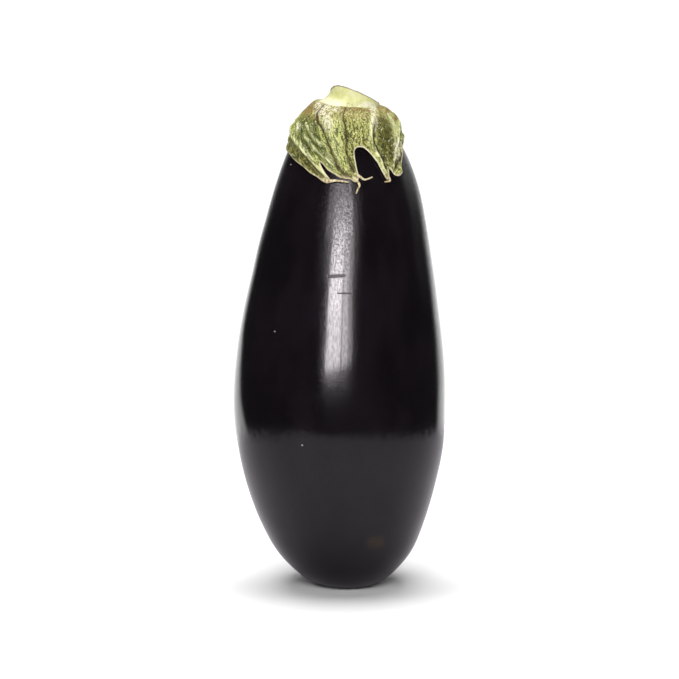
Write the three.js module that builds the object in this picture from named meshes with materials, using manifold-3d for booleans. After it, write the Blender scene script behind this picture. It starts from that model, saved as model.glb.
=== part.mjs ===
// An eggplant standing on its blossom end: one smooth fruit, its lobed green calyx and a short cut stem.
// Millimetres, +Z up, origin at the middle of the flat resting spot, front of the fruit towards -Y.
import * as THREE from "three";
import Module from "manifold-3d";

const wasm = await Module();
wasm.setup();

// Fruit outline from the top pole to the rim of the resting spot: radius, height, sideways lean
const FRUIT_OUTLINE = [
  [0, 189.9, -0.9],
  [8, 189, -0.9],
  [14.2, 186.2, -0.9],
  [18.8, 182, -0.8],
  [22, 177.7, -0.7],
  [24.9, 171.4, -0.5],
  [29, 159.4, -0.6],
  [35.4, 130.9, -1.8],
  [40.8, 98.4, -3.1],
  [42.3, 74.4, -3.5],
  [41.4, 58, -3],
  [38, 41.8, -2.7],
  [32.9, 25.9, -2.2],
  [27.2, 14.1, -1.5],
  [18.6, 4.6, -0.9],
  [13.2, 1.1, -0.5],
  [9.5, 0, 0],
];
const FRUIT_COLUMNS = 48;
const FRUIT_RINGS_PER_SPAN = 2;
const OUTLINE_SAMPLES = 640;

// Flat top of the calyx under the stem: height on the axis, fall per mm towards +X, radius
const CROWN_HEIGHT = 194.3;
const CROWN_FALL = 0.065;
const CROWN_RADIUS = 12.6;
// Rounded rim of that top: radius, drop below the flat
const CROWN_RIM_RADIUS = 13.9;
const CROWN_RIM_DROP = 0.3;
// Arc length from the pole where the lobes start, and the extra height of the side shoulders there
const SHOULDER_ARC = 14;
const LEFT_SHOULDER_RISE = 1.1;
const RIGHT_SHOULDER_RISE = 0.3;
// The right side is fuller and the left side flatter: extra height at the shoulder, gone at this arc length
const RIGHT_FULLNESS = 0.6;
const RIGHT_FULLNESS_END = 25;

// Height of the calyx surface above the skin: arc length from the pole, height
const CALYX_HEIGHT = [
  [14, 5.9],
  [16.8, 5.6],
  [20.3, 4.5],
  [23.7, 2.9],
  [26.5, 1.7],
  [30, 1.2],
  [40, 1],
];
const CALYX_GAP = 0.35;
const EDGE_THICKNESS = 1;
const SWEEP_POWER = 1.2;
const OUTER_STEPS = [0.12, 0.26, 0.42, 0.58, 0.74, 0.88, 1];
const INNER_STEPS = [1, 0.88, 0.7, 0.5, 0.3, 0.14];
const INNER_CROWN_ARCS = [14, 10.5, 7, 3.5];

// Lobed margin of the calyx: direction where the column leaves the shoulder, then the turn about
// the axis and the arc length from the pole where it ends, degrees from the front and mm
const CALYX_MARGIN = [
  // front left lobe, drawn far across to the right
  [-102, -100, 26.5],
  [-96, -84, 28.2],
  [-91, -69.5, 29.2],
  [-87, -56.5, 31.2],
  [-82, -41.2, 33.7],
  [-79, -33.8, 35.6],
  [-76, -25, 37.4],
  [-73, -19.5, 39],
  [-71, -15, 39.4],
  [-69, -14.6, 38.2],
  [-67, -17, 36.8],
  [-64, -20.5, 34.9],
  [-61, -25, 32],
  [-59.5, -24.9, 31.2],
  // wide front lobe
  [-57.5, -22.5, 31.7],
  [-54, -17, 34.1],
  [-50, -10.8, 35.8],
  [-46, -5.5, 37.2],
  [-41, -1, 37.6],
  [-36, 3, 37.9],
  [-27, 6.2, 38.9],
  [-18, 8.2, 38.6],
  [-10, 9.4, 37.2],
  [-6, 9, 35.6],
  [-3, 8.2, 33.8],
  [-1, 7.8, 31.9],
  [1, 7.1, 29.1],
  [4, 7.3, 26.9],
  [7, 9.5, 25.7],
  [10, 12.5, 25.4],
  // narrow lobe right of the round opening
  [13, 15.2, 25.5],
  [16, 18.2, 25.9],
  [19.5, 21.8, 27.1],
  [23.5, 25.8, 29.3],
  [27, 29, 32.2],
  [30, 32, 35.6],
  [32, 34, 37.9],
  [34, 36.3, 38.6],
  [36, 37.6, 37.3],
  [38, 38.1, 35.5],
  [40, 39.8, 34.1],
  // right lobe
  [43, 42, 35.6],
  [46, 43.8, 36.9],
  [49, 47, 37.5],
  [52, 50.5, 37.4],
  [55, 53.4, 36.3],
  [58, 55.4, 33.9],
  [63, 60.5, 31.4],
  [71, 69.5, 27.4],
  [79, 78.5, 25.6],
  [88, 88, 24.8],
  // three lobes at the back
  [95, 96, 24.2],
  [103, 104, 24.6],
  [110, 111, 26.6],
  [116, 117, 30],
  [121, 121, 34],
  [126, 124, 37.5],
  [131, 129, 35.5],
  [136, 134, 31.5],
  [141, 139, 28.2],
  [147, 146, 26.6],
  [152, 153, 27.5],
  [160, 162, 31.5],
  [167, 169, 35.5],
  [174, 175, 39],
  [180, 180, 36],
  [187, 186, 31],
  [195, 194, 27.5],
  [203, 204, 26],
  [211, 215, 27.5],
  [219, 226, 31],
  [225, 233.5, 35],
  [230, 240, 38],
  [235, 243, 35],
  [241, 246, 31],
  [249, 251, 27.5],
];

// Dried strands at the lobe tips: turn, arc length and height above the skin along each strand
const STRANDS = [
  { path: [[-20, 37.9, 0.8], [-15.5, 38.9, 0.9], [-9, 38.7, 1.3], [-3, 39, 1.2], [1.5, 39.3, 0.9]], width: 0.75 },
  { path: [[5, 37, 0.8], [8, 38.7, 1.1], [9.8, 40.6, 1.3], [8.5, 42, 1.2], [7, 43.8, 0.9]], width: 0.6 },
  { path: [[6.5, 35.6, 0.8], [11, 37.3, 1.1], [13.8, 38.4, 1.5], [17, 38.2, 1.6], [21, 37.5, 1.3]], width: 0.5 },
  { path: [[35.2, 36.2, 0.8], [37.2, 38.4, 1.1], [36.2, 39.4, 1.4], [34, 39.6, 1.4], [31.5, 39.7, 1.1]], width: 0.5 },
  { path: [[123, 36, 0.8], [125, 39, 1.1], [128, 42, 1.2]], width: 0.55 },
  { path: [[173.5, 37, 0.8], [176, 40.5, 1.1], [173, 44, 1.2]], width: 0.55 },
  { path: [[238, 36, 0.8], [241, 39, 1.1], [245, 41, 1.2]], width: 0.55 },
];
const STRAND_SIDES = 6;
const STRAND_STEPS = 8;
const STRAND_DEPTH = 0.45;
const STRAND_TIP_WIDTH = 0.28;

// Stem stub: radius and centre of the shaft, how far the foot flares all round and further on the left,
// and its gap above the crown
const STEM_RADIUS = 8.6;
const STEM_CENTRE = 2.3;
const STEM_FLARE = 3.6;
const STEM_LEFT_FLARE = 0.8;
const STEM_FLARE_LENGTH = 2.4;
const STEM_SHIFT = 2;
const STEM_SHIFT_LENGTH = 1.5;
const STEM_GAP = 0.3;
const STEM_COLUMNS = 28;
const STEM_STEPS = [0, 0.2, 0.45, 1];
// Slanting cut: height on the axis, fall per mm to the right, rise per mm to the front, worn left corner
const CUT_HEIGHT = 199;
const CUT_FALL = 0.4;
const CUT_RISE = 0.28;
const CUT_WORN_CORNER = 1.5;
const STEM_LEAST_HEIGHT = 1.1;

const SKIN_COLOUR = 0x1c161d;
const CALYX_COLOUR = 0xa3ab62;
const STEM_COLOUR = 0xe2dfa4;

const outline = new THREE.CatmullRomCurve3(
  FRUIT_OUTLINE.map(([radius, height, lean]) => new THREE.Vector3(radius, height, lean)),
  false,
  "centripetal",
);

// Outline samples with the arc length counted from the top pole
const samples = [];
for (let i = 0; i <= OUTLINE_SAMPLES; i += 1) {
  const point = outline.getPoint(i / OUTLINE_SAMPLES);
  const last = samples[i - 1];
  const step = last ? Math.hypot(point.x - last.radius, point.y - last.height) : 0;
  samples.push({ radius: point.x, height: point.y, lean: point.z, arc: last ? last.arc + step : 0 });
}

function between(table, x) {
  const last = table[table.length - 1];
  if (x <= table[0][0]) return table[0][1];
  if (x >= last[0]) return last[1];
  const i = table.findIndex((row) => row[0] > x);
  const [x0, y0] = table[i - 1];
  const [x1, y1] = table[i];
  return y0 + ((y1 - y0) * (x - x0)) / (x1 - x0);
}

function outward(turn, arc) {
  const i = Math.max(1, samples.findIndex((sample) => sample.arc > arc));
  const dr = samples[i].radius - samples[i - 1].radius;
  const dz = samples[i].height - samples[i - 1].height;
  const length = Math.hypot(dr, dz);
  const angle = THREE.MathUtils.degToRad(turn);
  return new THREE.Vector3((-dz / length) * Math.sin(angle), (dz / length) * Math.cos(angle), dr / length);
}

// Point above the skin, given the turn from the front, the arc length from the pole and the height
function aboveSkin(turn, arc, height) {
  const i = Math.max(1, samples.findIndex((sample) => sample.arc > arc));
  const a = samples[i - 1];
  const b = samples[i];
  const t = (arc - a.arc) / (b.arc - a.arc);
  const radius = a.radius + (b.radius - a.radius) * t;
  const lean = a.lean + (b.lean - a.lean) * t;
  const angle = THREE.MathUtils.degToRad(turn);
  const foot = new THREE.Vector3(
    lean + radius * Math.sin(angle),
    -radius * Math.cos(angle),
    a.height + (b.height - a.height) * t,
  );
  return foot.addScaledVector(outward(turn, arc), height);
}

// Closed body from a start point, rings of equal size that run away from it, and an end point
function shell(start, rings, end) {
  const columns = rings[0].length;
  const points = [start, ...rings.flat(), end];
  const at = (ring, column) => 1 + ring * columns + (column % columns);
  const index = [];
  for (let j = 0; j < columns; j += 1) {
    index.push(0, at(0, j), at(0, j + 1));
    for (let i = 1; i < rings.length; i += 1) {
      index.push(at(i - 1, j), at(i, j), at(i - 1, j + 1));
      index.push(at(i - 1, j + 1), at(i, j), at(i, j + 1));
    }
    index.push(points.length - 1, at(rings.length - 1, j + 1), at(rings.length - 1, j));
  }
  const geometry = new THREE.BufferGeometry().setFromPoints(points);
  geometry.setIndex(index);
  return geometry;
}

function fruitGeometry() {
  const spans = FRUIT_OUTLINE.length - 1;
  const steps = spans * FRUIT_RINGS_PER_SPAN;
  const rings = [];
  for (let i = 1; i <= steps; i += 1) {
    const { x: radius, y: height, z: lean } = outline.getPoint(i / steps);
    const ring = [];
    for (let j = 0; j < FRUIT_COLUMNS; j += 1) {
      const angle = (2 * Math.PI * j) / FRUIT_COLUMNS;
      ring.push(new THREE.Vector3(lean + radius * Math.sin(angle), -radius * Math.cos(angle), height));
    }
    rings.push(ring);
  }
  const [, poleHeight, poleLean] = FRUIT_OUTLINE[0];
  return shell(new THREE.Vector3(poleLean, 0, poleHeight), rings, new THREE.Vector3(0, 0, 0));
}

function crownPoint(turn, radius, drop) {
  const angle = THREE.MathUtils.degToRad(turn);
  const x = radius * Math.sin(angle);
  return new THREE.Vector3(x, -radius * Math.cos(angle), CROWN_HEIGHT - CROWN_FALL * x - drop);
}

// Turn and arc length of one column at a step between the shoulder (0) and the margin (1)
function columnAt([direction, turn, arc], step) {
  return {
    turn: direction + (turn - direction) * step ** SWEEP_POWER,
    arc: SHOULDER_ARC + (arc - SHOULDER_ARC) * step,
  };
}

// Height of the calyx surface above the skin, given the turn and the arc length
function outerHeight(turn, arc) {
  const right = Math.sin(THREE.MathUtils.degToRad(turn));
  const fade = THREE.MathUtils.clamp((RIGHT_FULLNESS_END - arc) / (RIGHT_FULLNESS_END - SHOULDER_ARC), 0, 1);
  return between(CALYX_HEIGHT, arc) + RIGHT_FULLNESS * right * fade;
}

function calyxGeometry() {
  const rings = [
    CALYX_MARGIN.map(([direction]) => crownPoint(direction, CROWN_RADIUS / 2, 0)),
    CALYX_MARGIN.map(([direction]) => crownPoint(direction, CROWN_RADIUS, 0)),
    CALYX_MARGIN.map(([direction]) => crownPoint(direction, CROWN_RIM_RADIUS, CROWN_RIM_DROP)),
    CALYX_MARGIN.map(([direction]) => {
      const point = aboveSkin(direction, SHOULDER_ARC, outerHeight(direction, SHOULDER_ARC));
      const side = Math.sin(THREE.MathUtils.degToRad(direction));
      point.z += (side < 0 ? LEFT_SHOULDER_RISE : RIGHT_SHOULDER_RISE) * side ** 2;
      return point;
    }),
  ];
  for (const step of OUTER_STEPS) {
    rings.push(CALYX_MARGIN.map((column) => {
      const { turn, arc } = columnAt(column, step);
      return aboveSkin(turn, arc, outerHeight(turn, arc));
    }));
  }
  for (const step of INNER_STEPS) {
    rings.push(CALYX_MARGIN.map((column) => {
      const { turn, arc } = columnAt(column, step);
      const free = step === 1 ? outerHeight(turn, arc) - EDGE_THICKNESS : 0;
      return aboveSkin(turn, arc, Math.max(CALYX_GAP, free));
    }));
  }
  for (const arc of INNER_CROWN_ARCS) {
    rings.push(CALYX_MARGIN.map(([direction]) => aboveSkin(direction, arc, CALYX_GAP)));
  }
  return shell(crownPoint(0, 0, 0), rings, aboveSkin(0, 0, CALYX_GAP));
}

// Flattened strand along the skin, tapering to its tip
function strandGeometry({ path, width }) {
  const turns = new THREE.CatmullRomCurve3(path.map(([turn, arc, height]) => new THREE.Vector3(turn, arc, height)));
  const middles = [];
  const normals = [];
  for (let i = 0; i <= STRAND_STEPS; i += 1) {
    const { x: turn, y: arc, z: height } = turns.getPoint(i / STRAND_STEPS);
    middles.push(aboveSkin(turn, arc, height));
    normals.push(outward(turn, arc));
  }
  const rings = middles.map((middle, i) => {
    const before = middles[Math.max(0, i - 1)];
    const after = middles[Math.min(STRAND_STEPS, i + 1)];
    const along = after.clone().sub(before).normalize();
    const side = new THREE.Vector3().crossVectors(normals[i], along).normalize();
    const up = new THREE.Vector3().crossVectors(along, side);
    const half = THREE.MathUtils.lerp(width, STRAND_TIP_WIDTH, i / STRAND_STEPS);
    const deep = Math.min(half, STRAND_DEPTH);
    return Array.from({ length: STRAND_SIDES }, (unused, j) => {
      const angle = (2 * Math.PI * j) / STRAND_SIDES;
      return middle.clone()
        .addScaledVector(up, deep * Math.cos(angle))
        .addScaledVector(side, half * Math.sin(angle));
    });
  });
  return shell(middles[0], rings, middles[STRAND_STEPS]);
}

function solid(geometry) {
  return new wasm.Manifold(new wasm.Mesh({
    numProp: 3,
    vertProperties: new Float32Array(geometry.getAttribute("position").array),
    triVerts: new Uint32Array(geometry.getIndex().array),
  }));
}

function joined(geometries) {
  let body = solid(geometries[0]);
  for (const geometry of geometries.slice(1)) {
    body = body.add(solid(geometry));
  }
  const { vertProperties, triVerts } = body.getMesh();
  const geometry = new THREE.BufferGeometry();
  geometry.setAttribute("position", new THREE.BufferAttribute(vertProperties, 3));
  geometry.setIndex(new THREE.BufferAttribute(triVerts, 1));
  return geometry;
}

// Stem wall at a height above the crown: the foot flares out and its centre drifts to the left
function stemPoint(angle, height) {
  const flare = STEM_FLARE + STEM_LEFT_FLARE * Math.max(0, -Math.sin(angle)) ** 2;
  const radius = STEM_RADIUS + flare * Math.exp(-height / STEM_FLARE_LENGTH);
  const centre = STEM_CENTRE - STEM_SHIFT * Math.exp(-height / STEM_SHIFT_LENGTH);
  const x = centre + radius * Math.sin(angle);
  return new THREE.Vector3(x, -radius * Math.cos(angle), CROWN_HEIGHT - CROWN_FALL * x + STEM_GAP + height);
}

function cutHeight(x, y, angle) {
  const corner = Math.max(0, -Math.sin(angle)) ** 8;
  return CUT_HEIGHT - CUT_FALL * x - CUT_RISE * y - CUT_WORN_CORNER * corner;
}

function stemGeometry() {
  const columns = [];
  for (let j = 0; j < STEM_COLUMNS; j += 1) {
    const angle = (2 * Math.PI * j) / STEM_COLUMNS;
    let height = 4;
    for (let k = 0; k < 12; k += 1) {
      const { x, y, z } = stemPoint(angle, height);
      height += (cutHeight(x, y, angle) - z) / 2;
    }
    columns.push({ angle, height: Math.max(STEM_LEAST_HEIGHT, height) });
  }
  const middle = new THREE.Vector3(STEM_CENTRE, 0, cutHeight(STEM_CENTRE, 0, 0));
  const rings = [...STEM_STEPS].reverse().map(
    (step) => columns.map(({ angle, height }) => stemPoint(angle, height * step)),
  );
  const foot = new THREE.Vector3(0, 0, CROWN_HEIGHT + STEM_GAP);
  return shell(middle, rings, foot);
}

function piece(name, geometry, color, roughness) {
  const flat = geometry.toNonIndexed();
  flat.computeVertexNormals();
  const mesh = new THREE.Mesh(flat, new THREE.MeshStandardMaterial({ color, roughness, metalness: 0 }));
  mesh.name = name;
  return mesh;
}

const eggplant = new THREE.Group();
eggplant.name = "eggplant";
eggplant.add(piece("fruit", fruitGeometry(), SKIN_COLOUR, 0.22));
eggplant.add(piece("calyx", joined([calyxGeometry(), ...STRANDS.map(strandGeometry)]), CALYX_COLOUR, 0.8));
eggplant.add(piece("stem", stemGeometry(), STEM_COLOUR, 0.6));

export default eggplant;
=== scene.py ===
"""An eggplant standing on its blossom end.

It has a glossy near-black fruit, a mottled green calyx with dried tips, and a short cut stem.
"""

import math

import bpy
import numpy as np
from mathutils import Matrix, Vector


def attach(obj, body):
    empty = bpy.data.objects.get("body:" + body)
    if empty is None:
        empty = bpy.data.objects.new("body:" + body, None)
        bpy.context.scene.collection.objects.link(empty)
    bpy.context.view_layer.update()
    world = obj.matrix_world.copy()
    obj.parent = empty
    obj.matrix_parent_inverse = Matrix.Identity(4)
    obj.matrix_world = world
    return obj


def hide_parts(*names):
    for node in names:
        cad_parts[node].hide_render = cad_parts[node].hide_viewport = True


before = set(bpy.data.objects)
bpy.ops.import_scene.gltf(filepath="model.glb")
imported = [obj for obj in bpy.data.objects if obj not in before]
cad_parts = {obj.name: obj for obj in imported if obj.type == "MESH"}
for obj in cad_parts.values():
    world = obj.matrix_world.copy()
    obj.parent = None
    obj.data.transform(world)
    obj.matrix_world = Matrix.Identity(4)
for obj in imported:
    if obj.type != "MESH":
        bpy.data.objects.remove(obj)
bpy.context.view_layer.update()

bl_info = {
    "name": "Eggplant",
    "version": (1, 0, 0),
    "blender": (4, 5, 0),
    "location": "3D View > Sidebar > Eggplant",
    "description": "Builds an eggplant with its skin, calyx and cut stem, and a plain stage for it",
    "category": "Add Mesh",
}

MM = 0.001
BODY = "root"

# Fruit outline from the top pole to the rim of the resting spot: radius, height, sideways lean, mm
FRUIT_OUTLINE = np.array([
    [0, 189.9, -0.9], [8, 189, -0.9], [14.2, 186.2, -0.9], [18.8, 182, -0.8], [22, 177.7, -0.7],
    [24.9, 171.4, -0.5], [29, 159.4, -0.6], [35.4, 130.9, -1.8], [40.8, 98.4, -3.1], [42.3, 74.4, -3.5],
    [41.4, 58, -3], [38, 41.8, -2.7], [32.9, 25.9, -2.2], [27.2, 14.1, -1.5], [18.6, 4.6, -0.9],
    [13.2, 1.1, -0.5], [9.5, 0, 0],
], float)

# Flat top of the calyx: height on the axis, fall per mm towards +X, radius, then the rounded rim
CROWN_HEIGHT = 194.3
CROWN_FALL = 0.065
CROWN_RADIUS = 12.6
CROWN_RIM_RADIUS = 13.9
CROWN_RIM_DROP = 0.3
# Arc length from the pole where the sides of the calyx begin, and how far they rise there on each side
SHOULDER_ARC = 14.0
LEFT_SHOULDER_RISE = 1.1
RIGHT_SHOULDER_RISE = 0.3
# How much fuller the right side is and slimmer the left, and the arc length where that ends
RIGHT_FULLNESS = 0.6
RIGHT_FULLNESS_END = 25.0
# The turn of a column grows with this power of its way to the margin
SWEEP_POWER = 1.2

# Height of the calyx above the skin, mm, by arc length from the pole, and the width that rounds its corners
CALYX_HEIGHT = np.array([
    [14, 5.9], [16.8, 5.6], [20.3, 4.5], [23.7, 2.9], [26.5, 1.7], [30, 1.2], [40, 1],
], float)
CALYX_HEIGHT_ROUNDING = 1.2

# Margin of the calyx: direction where a column leaves the shoulder, turn about the axis and arc length
# from the pole where it ends, degrees from the front and mm. Left lobe, wide lobe, narrow lobe right of
# the round opening, right lobe, three back lobes
CALYX_MARGIN = np.array([
    [-102, -100, 26.5], [-96, -84, 28.2], [-91, -69.5, 29.2], [-87, -56.5, 31.2], [-82, -41.2, 33.7],
    [-79, -33.8, 35.6], [-76, -25, 37.4], [-73, -19.5, 39], [-71, -15, 39.4], [-69, -14.6, 38.2],
    [-67, -17, 36.8], [-64, -20.5, 34.9], [-61, -25, 32], [-59.5, -24.9, 31.2],
    [-57.5, -22.5, 31.7], [-54, -17, 34.1], [-50, -10.8, 35.8], [-46, -5.5, 37.2], [-41, -1, 37.6],
    [-36, 3, 37.9], [-27, 6.2, 38.9], [-18, 8.2, 38.6], [-10, 9.4, 37.2], [-6, 9, 35.6], [-3, 8.2, 33.8],
    [-1, 7.8, 31.9], [1, 7.1, 29.1], [4, 7.3, 26.9], [7, 9.5, 25.7], [10, 12.5, 25.4],
    [13, 15.2, 25.5], [16, 18.2, 25.9], [19.5, 21.8, 27.1], [23.5, 25.8, 29.3], [27, 29, 32.2],
    [30, 32, 35.6], [32, 34, 37.9], [34, 36.3, 38.6], [36, 37.6, 37.3], [38, 38.1, 35.5], [40, 39.8, 34.1],
    [43, 42, 35.6], [46, 43.8, 36.9], [49, 47, 37.5], [52, 50.5, 37.4], [55, 53.4, 36.3], [58, 55.4, 33.9],
    [63, 60.5, 31.4], [71, 69.5, 27.4], [79, 78.5, 25.6], [88, 88, 24.8],
    [95, 96, 24.2], [103, 104, 24.6], [110, 111, 26.6], [116, 117, 30], [121, 121, 34], [126, 124, 37.5],
    [131, 129, 35.5], [136, 134, 31.5], [141, 139, 28.2], [147, 146, 26.6],
    [152, 153, 27.5], [160, 162, 31.5], [167, 169, 35.5], [174, 175, 39], [180, 180, 36], [187, 186, 31],
    [195, 194, 27.5], [203, 204, 26],
    [211, 215, 27.5], [219, 226, 31], [225, 233.5, 35], [230, 240, 38], [235, 243, 35], [241, 246, 31],
    [249, 251, 27.5],
], float)

# Marks on the front of the skin. Scars: X, Z, half length, half width, slope. Brown scuff: X, Z, half sizes
SKIN_SCARS = ((-4.5, 130.4, 4.1, 0.7, 0.07), (-1.4, 123.8, 3.3, 0.35, 0.0))
SKIN_SCUFF = (11.2, 23.3, 4.0, 3.2)
# Pale specks on the front of the skin: X, Z and radius, mm
SKIN_SPECKS = ((-18.0, 64.2, 0.36), (-28.8, 107.7, 0.28), (-22.6, 171.4, 0.26))

# Dried strands at the lobe tips: width at the root, then turn, arc length and height above the skin
STRANDS = (
    (0.8, [[-20, 37.9, 0.7], [-15.5, 38.9, 0.9], [-9, 38.7, 1.4], [-3, 39, 1.3], [1.5, 39.3, 0.9]]),
    (0.65, [[5, 37, 0.7], [8, 38.7, 1.1], [9.8, 40.6, 1.4], [8.5, 42, 1.2], [7, 43.8, 0.9]]),
    (0.55, [[6.5, 35.6, 0.7], [11, 37.3, 1.1], [13.8, 38.4, 1.5], [17, 38.2, 1.7], [21, 37.5, 1.4]]),
    (0.55, [[35.2, 36.2, 0.7], [37.2, 38.4, 1.1], [36.2, 39.4, 1.5], [34, 39.6, 1.5], [31.5, 39.7, 1.1]]),
    (0.6, [[123, 36, 0.7], [125, 39, 1.1], [128, 42, 1.2]]),
    (0.6, [[173.5, 37, 0.7], [176, 40.5, 1.1], [173, 44, 1.2]]),
    (0.6, [[238, 36, 0.7], [241, 39, 1.1], [245, 41, 1.2]]),
)

# Lines on the calyx as (turn, arc length): valleys between the lobes' ribs
CREASES = (
    [(-44, 14), (-38, 16.6), (-34, 17.4), (-28.8, 18.6), (-24.2, 20.5), (-18.2, 24.6), (-15, 27.4),
     (-11, 30.1), (-7.5, 33.3), (-4.8, 35), (-0.8, 36.3), (3, 37.2)],
    [(-3.6, 14), (-1, 17.7), (0.5, 21.7), (0.5, 26.4), (1.2, 29.1), (2.8, 31.5), (5, 34.2), (7, 35.6),
     (9.5, 37.6)],
    [(35, 18.3), (31.2, 20.1), (30.2, 23.4), (31, 25.2), (33, 27.3), (34.8, 29.5), (35.5, 31.6),
     (36, 35.4)],
    [(92, 22), (78, 23.4), (65.8, 26.9), (61.5, 29.9), (50.8, 32.9), (45.5, 35.1)],
    [(141, 15), (143, 21), (142, 28)],
    [(161, 15), (165, 24), (172, 34)],
    [(196, 15), (188, 23), (179, 33)],
    [(222, 15), (228, 24), (237, 33)],
)
# Raised pale lines, their paleness partly painted glints: the fold of the left lobe, then three ribs above it,
# the broad rib left of the third valley, the rim of the right lobe and a rib down each back lobe
FOLD = [
    (-96, 20.5), (-75.8, 22.7), (-60.2, 24.8), (-47, 27.4), (-35.8, 30.3), (-28.5, 32.8), (-21.2, 35.4),
    (-16.2, 37.3),
]
BROAD_RIB = [
    (42.2, 14.2), (32, 17.4), (28, 20.4), (26.5, 23.1), (26.8, 24.8), (30, 28.5), (33, 32.5), (35, 36),
]
RIDGES = (
    [(-70, 19.5), (-64, 21.2), (-54.5, 23.7), (-46.8, 26.4), (-38.5, 28.7), (-33, 30.4), (-28, 31.6)],
    [(-52.8, 18.4), (-42.8, 20.3), (-34.2, 23), (-28.8, 24.4), (-23, 25.3)],
    [(-48.8, 21.9), (-41, 24), (-34, 26.1), (-27.8, 27.5), (-21.2, 29.6), (-16.8, 30.9), (-12.8, 32.2)],
    BROAD_RIB,
    [(84, 19), (78.5, 20.5), (65, 24.1), (56.8, 27.4), (50, 30.7), (44.8, 33.9)],
    [(119, 15), (122, 25), (124, 36)],
    [(176, 15), (175.5, 25), (175, 37)],
    [(236, 15), (240, 25), (240, 36)],
)
# Directions in degrees where the left lobe sets in, and two bands of painted shade left and right of the
# middle.
# Each band: where it starts, is full from, is full to and ends
LEFT_LOBE = (-56, -62)
LEFT_BAND = (-84, -66, -41, -35)
RIGHT_BAND = (30, 37, 52, 66)
# Soft stripes, middle and width in degrees: one of painted shade and an olive one right of the middle, pale
# ones left of it and on the right rim
MIDDLE_SHADE_STRIPE = (14, 14)
OLIVE_STRIPE = (14, 15)
PALE_LEFT_STRIPE = (-13, 8)
PALE_RIM_STRIPE = (69, 12)
# Part of the way from shoulder to margin where bands and stripes show
BAND_ROWS = (0.02, 0.12, 0.7, 0.95)

# Calyx valleys, darkened with painted shade: share, outer and inner half width of the dark core, share and
# width of its soft edge
CREASE_CORE = (0.75, 0.42, 0.18)
CREASE_EDGE = (0.35, 0.65)
# Depth or height and width of the narrow and wide hollow of a valley, of a rib and of the fold, mm, then
# the drop behind the fold and how far the free margin is rounded off
VALLEY = (0.85, 0.6)
DIP = (0.4, 2.0)
RIB = (0.45, 0.6)
FOLD_RIDGE = (0.6, 0.85)
FOLD_DROP = 0.85
EDGE_ROUNDING = 0.3
# Calyx noise: height in mm and cell sizes, twice round and once along the lobes
LUMPS = (0.34, (5.0, 5.0, 6.0))
WRINKLES = (0.28, (1.5, 1.5, 4.5))
KNOBS = (0.17, (0.8, 0.8, 1.1))
# Radius in mm that turns a direction into a length round the calyx
FLOW_RADIUS = 18
# Cell size of the noise that makes the valleys waver, and how far they do, in degrees
JITTER_CELL = 1.3
CREASE_JITTER = 0.9

# Patches on the crown as seen from the front at the camera's tilt: sideways and upward place of the middle
# and half sizes, mm. First the cream ones, partly painted highlights beside the stem, then the brown ones
CREAM_AND_HIGHLIGHT_PATCHES = (
    (-7.2, 94.6, 3.4, 2.2), (-11.8, 92.6, 1.6, 1.6), (-4.2, 93.4, 1.8, 1.0), (7.4, 93.2, 2.6, 1.2),
    (9.8, 91.6, 1.3, 1.9), (10.3, 87.0, 1.1, 4.2), (-19.5, 84.5, 0.8, 1.5),
    (19.9, 75.5, 1.5, 4.5), (-9.6, 90.4, 3.0, 2.6), (-8.4, 85.8, 1.9, 3.4), (-4.6, 91.0, 1.5, 0.9),
)
BROWN_PATCHES = (
    (-16.4, 91.0, 2.0, 1.9), (-13.8, 93.6, 1.5, 1.3), (-12.2, 90.8, 1.7, 0.8), (-2.0, 92.0, 1.2, 2.9),
    (2.3, 91.9, 3.4, 1.6), (7.2, 90.6, 2.0, 0.5), (12.9, 92.6, 1.8, 1.7), (15.7, 91.0, 1.1, 1.2),
    (-12.6, 88.6, 1.2, 1.3), (9.8, 93.7, 0.6, 0.35), (18.8, 87.6, 0.7, 1.4),
)
# A patch is full up to the first and fades out at the second of these shares of its half sizes
PATCH_FULL = 0.6325
PATCH_END = 1.495
# Depth behind the axis where the last of a patch is gone
PATCH_BEHIND = 3.0
# Brown patches on the back of the crown: turn, arc length, radius in mm, and the radius that turns a turn
# into a length there
FLECK_REACH = 16
FLECKS = np.array([[140, 15, 2.2], [205, 14.5, 2], [231, 16, 1.5], [112, 14.5, 1.8]], float)

# Stem stub: radius and middle, then how far its foot flares, more on the left, and shifts to the left, each
# with the height over which that fades
STEM_RADIUS = 8.6
STEM_CENTRE = 2.3
STEM_FLARE = 3.6
STEM_LEFT_FLARE = 0.8
STEM_FLARE_LENGTH = 2.4
STEM_SHIFT = 2.0
STEM_SHIFT_LENGTH = 1.5
# Least height of the wall, and how deep its foot stands in the crown
STEM_LEAST_HEIGHT = 1.1
STEM_SUNK = 0.35
STEM_WALL_ROWS = 60
# Stem noise: height in mm and cell sizes, twice round and once up
FIBRES = (0.09, (0.9, 0.9, 6.0))
STEM_LUMPS = (0.16, (3.5, 3.5, 4.0))
STEM_FLOW_RADIUS = 6
RAGGED_CUT = 0.12
# Slanting cut: height on the axis, fall per mm to the right, rise per mm to the front, then how much the left
# corner is worn, the face is hollow and rough, and its lip stands up, mm
CUT_HEIGHT = 199.0
CUT_FALL = 0.4
CUT_RISE = 0.28
CUT_WORN_CORNER = 1.5
CUT_HOLLOW = 0.5
CUT_ROUGHNESS = 0.1
CUT_LIP = 0.08
# Rings of the cut face, as shares of the way from its rim to its middle, and where the pith ring lies
CUT_RINGS = (0.015, 0.05, 0.1, 0.16, 0.24, 0.34, 0.45, 0.56, 0.68, 0.8, 0.92)
PITH_RING = 0.35

# Camera: elevation in degrees, distance in mm, point looked at in mm, width seen there in mm
CAMERA_ELEVATION = 9.0
CAMERA_DISTANCE = 1500.0
CAMERA_TARGET = (-3.4, 0.0, 99.8)
CAMERA_FIELD = 271.6
SENSOR_WIDTH = 36.0

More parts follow.
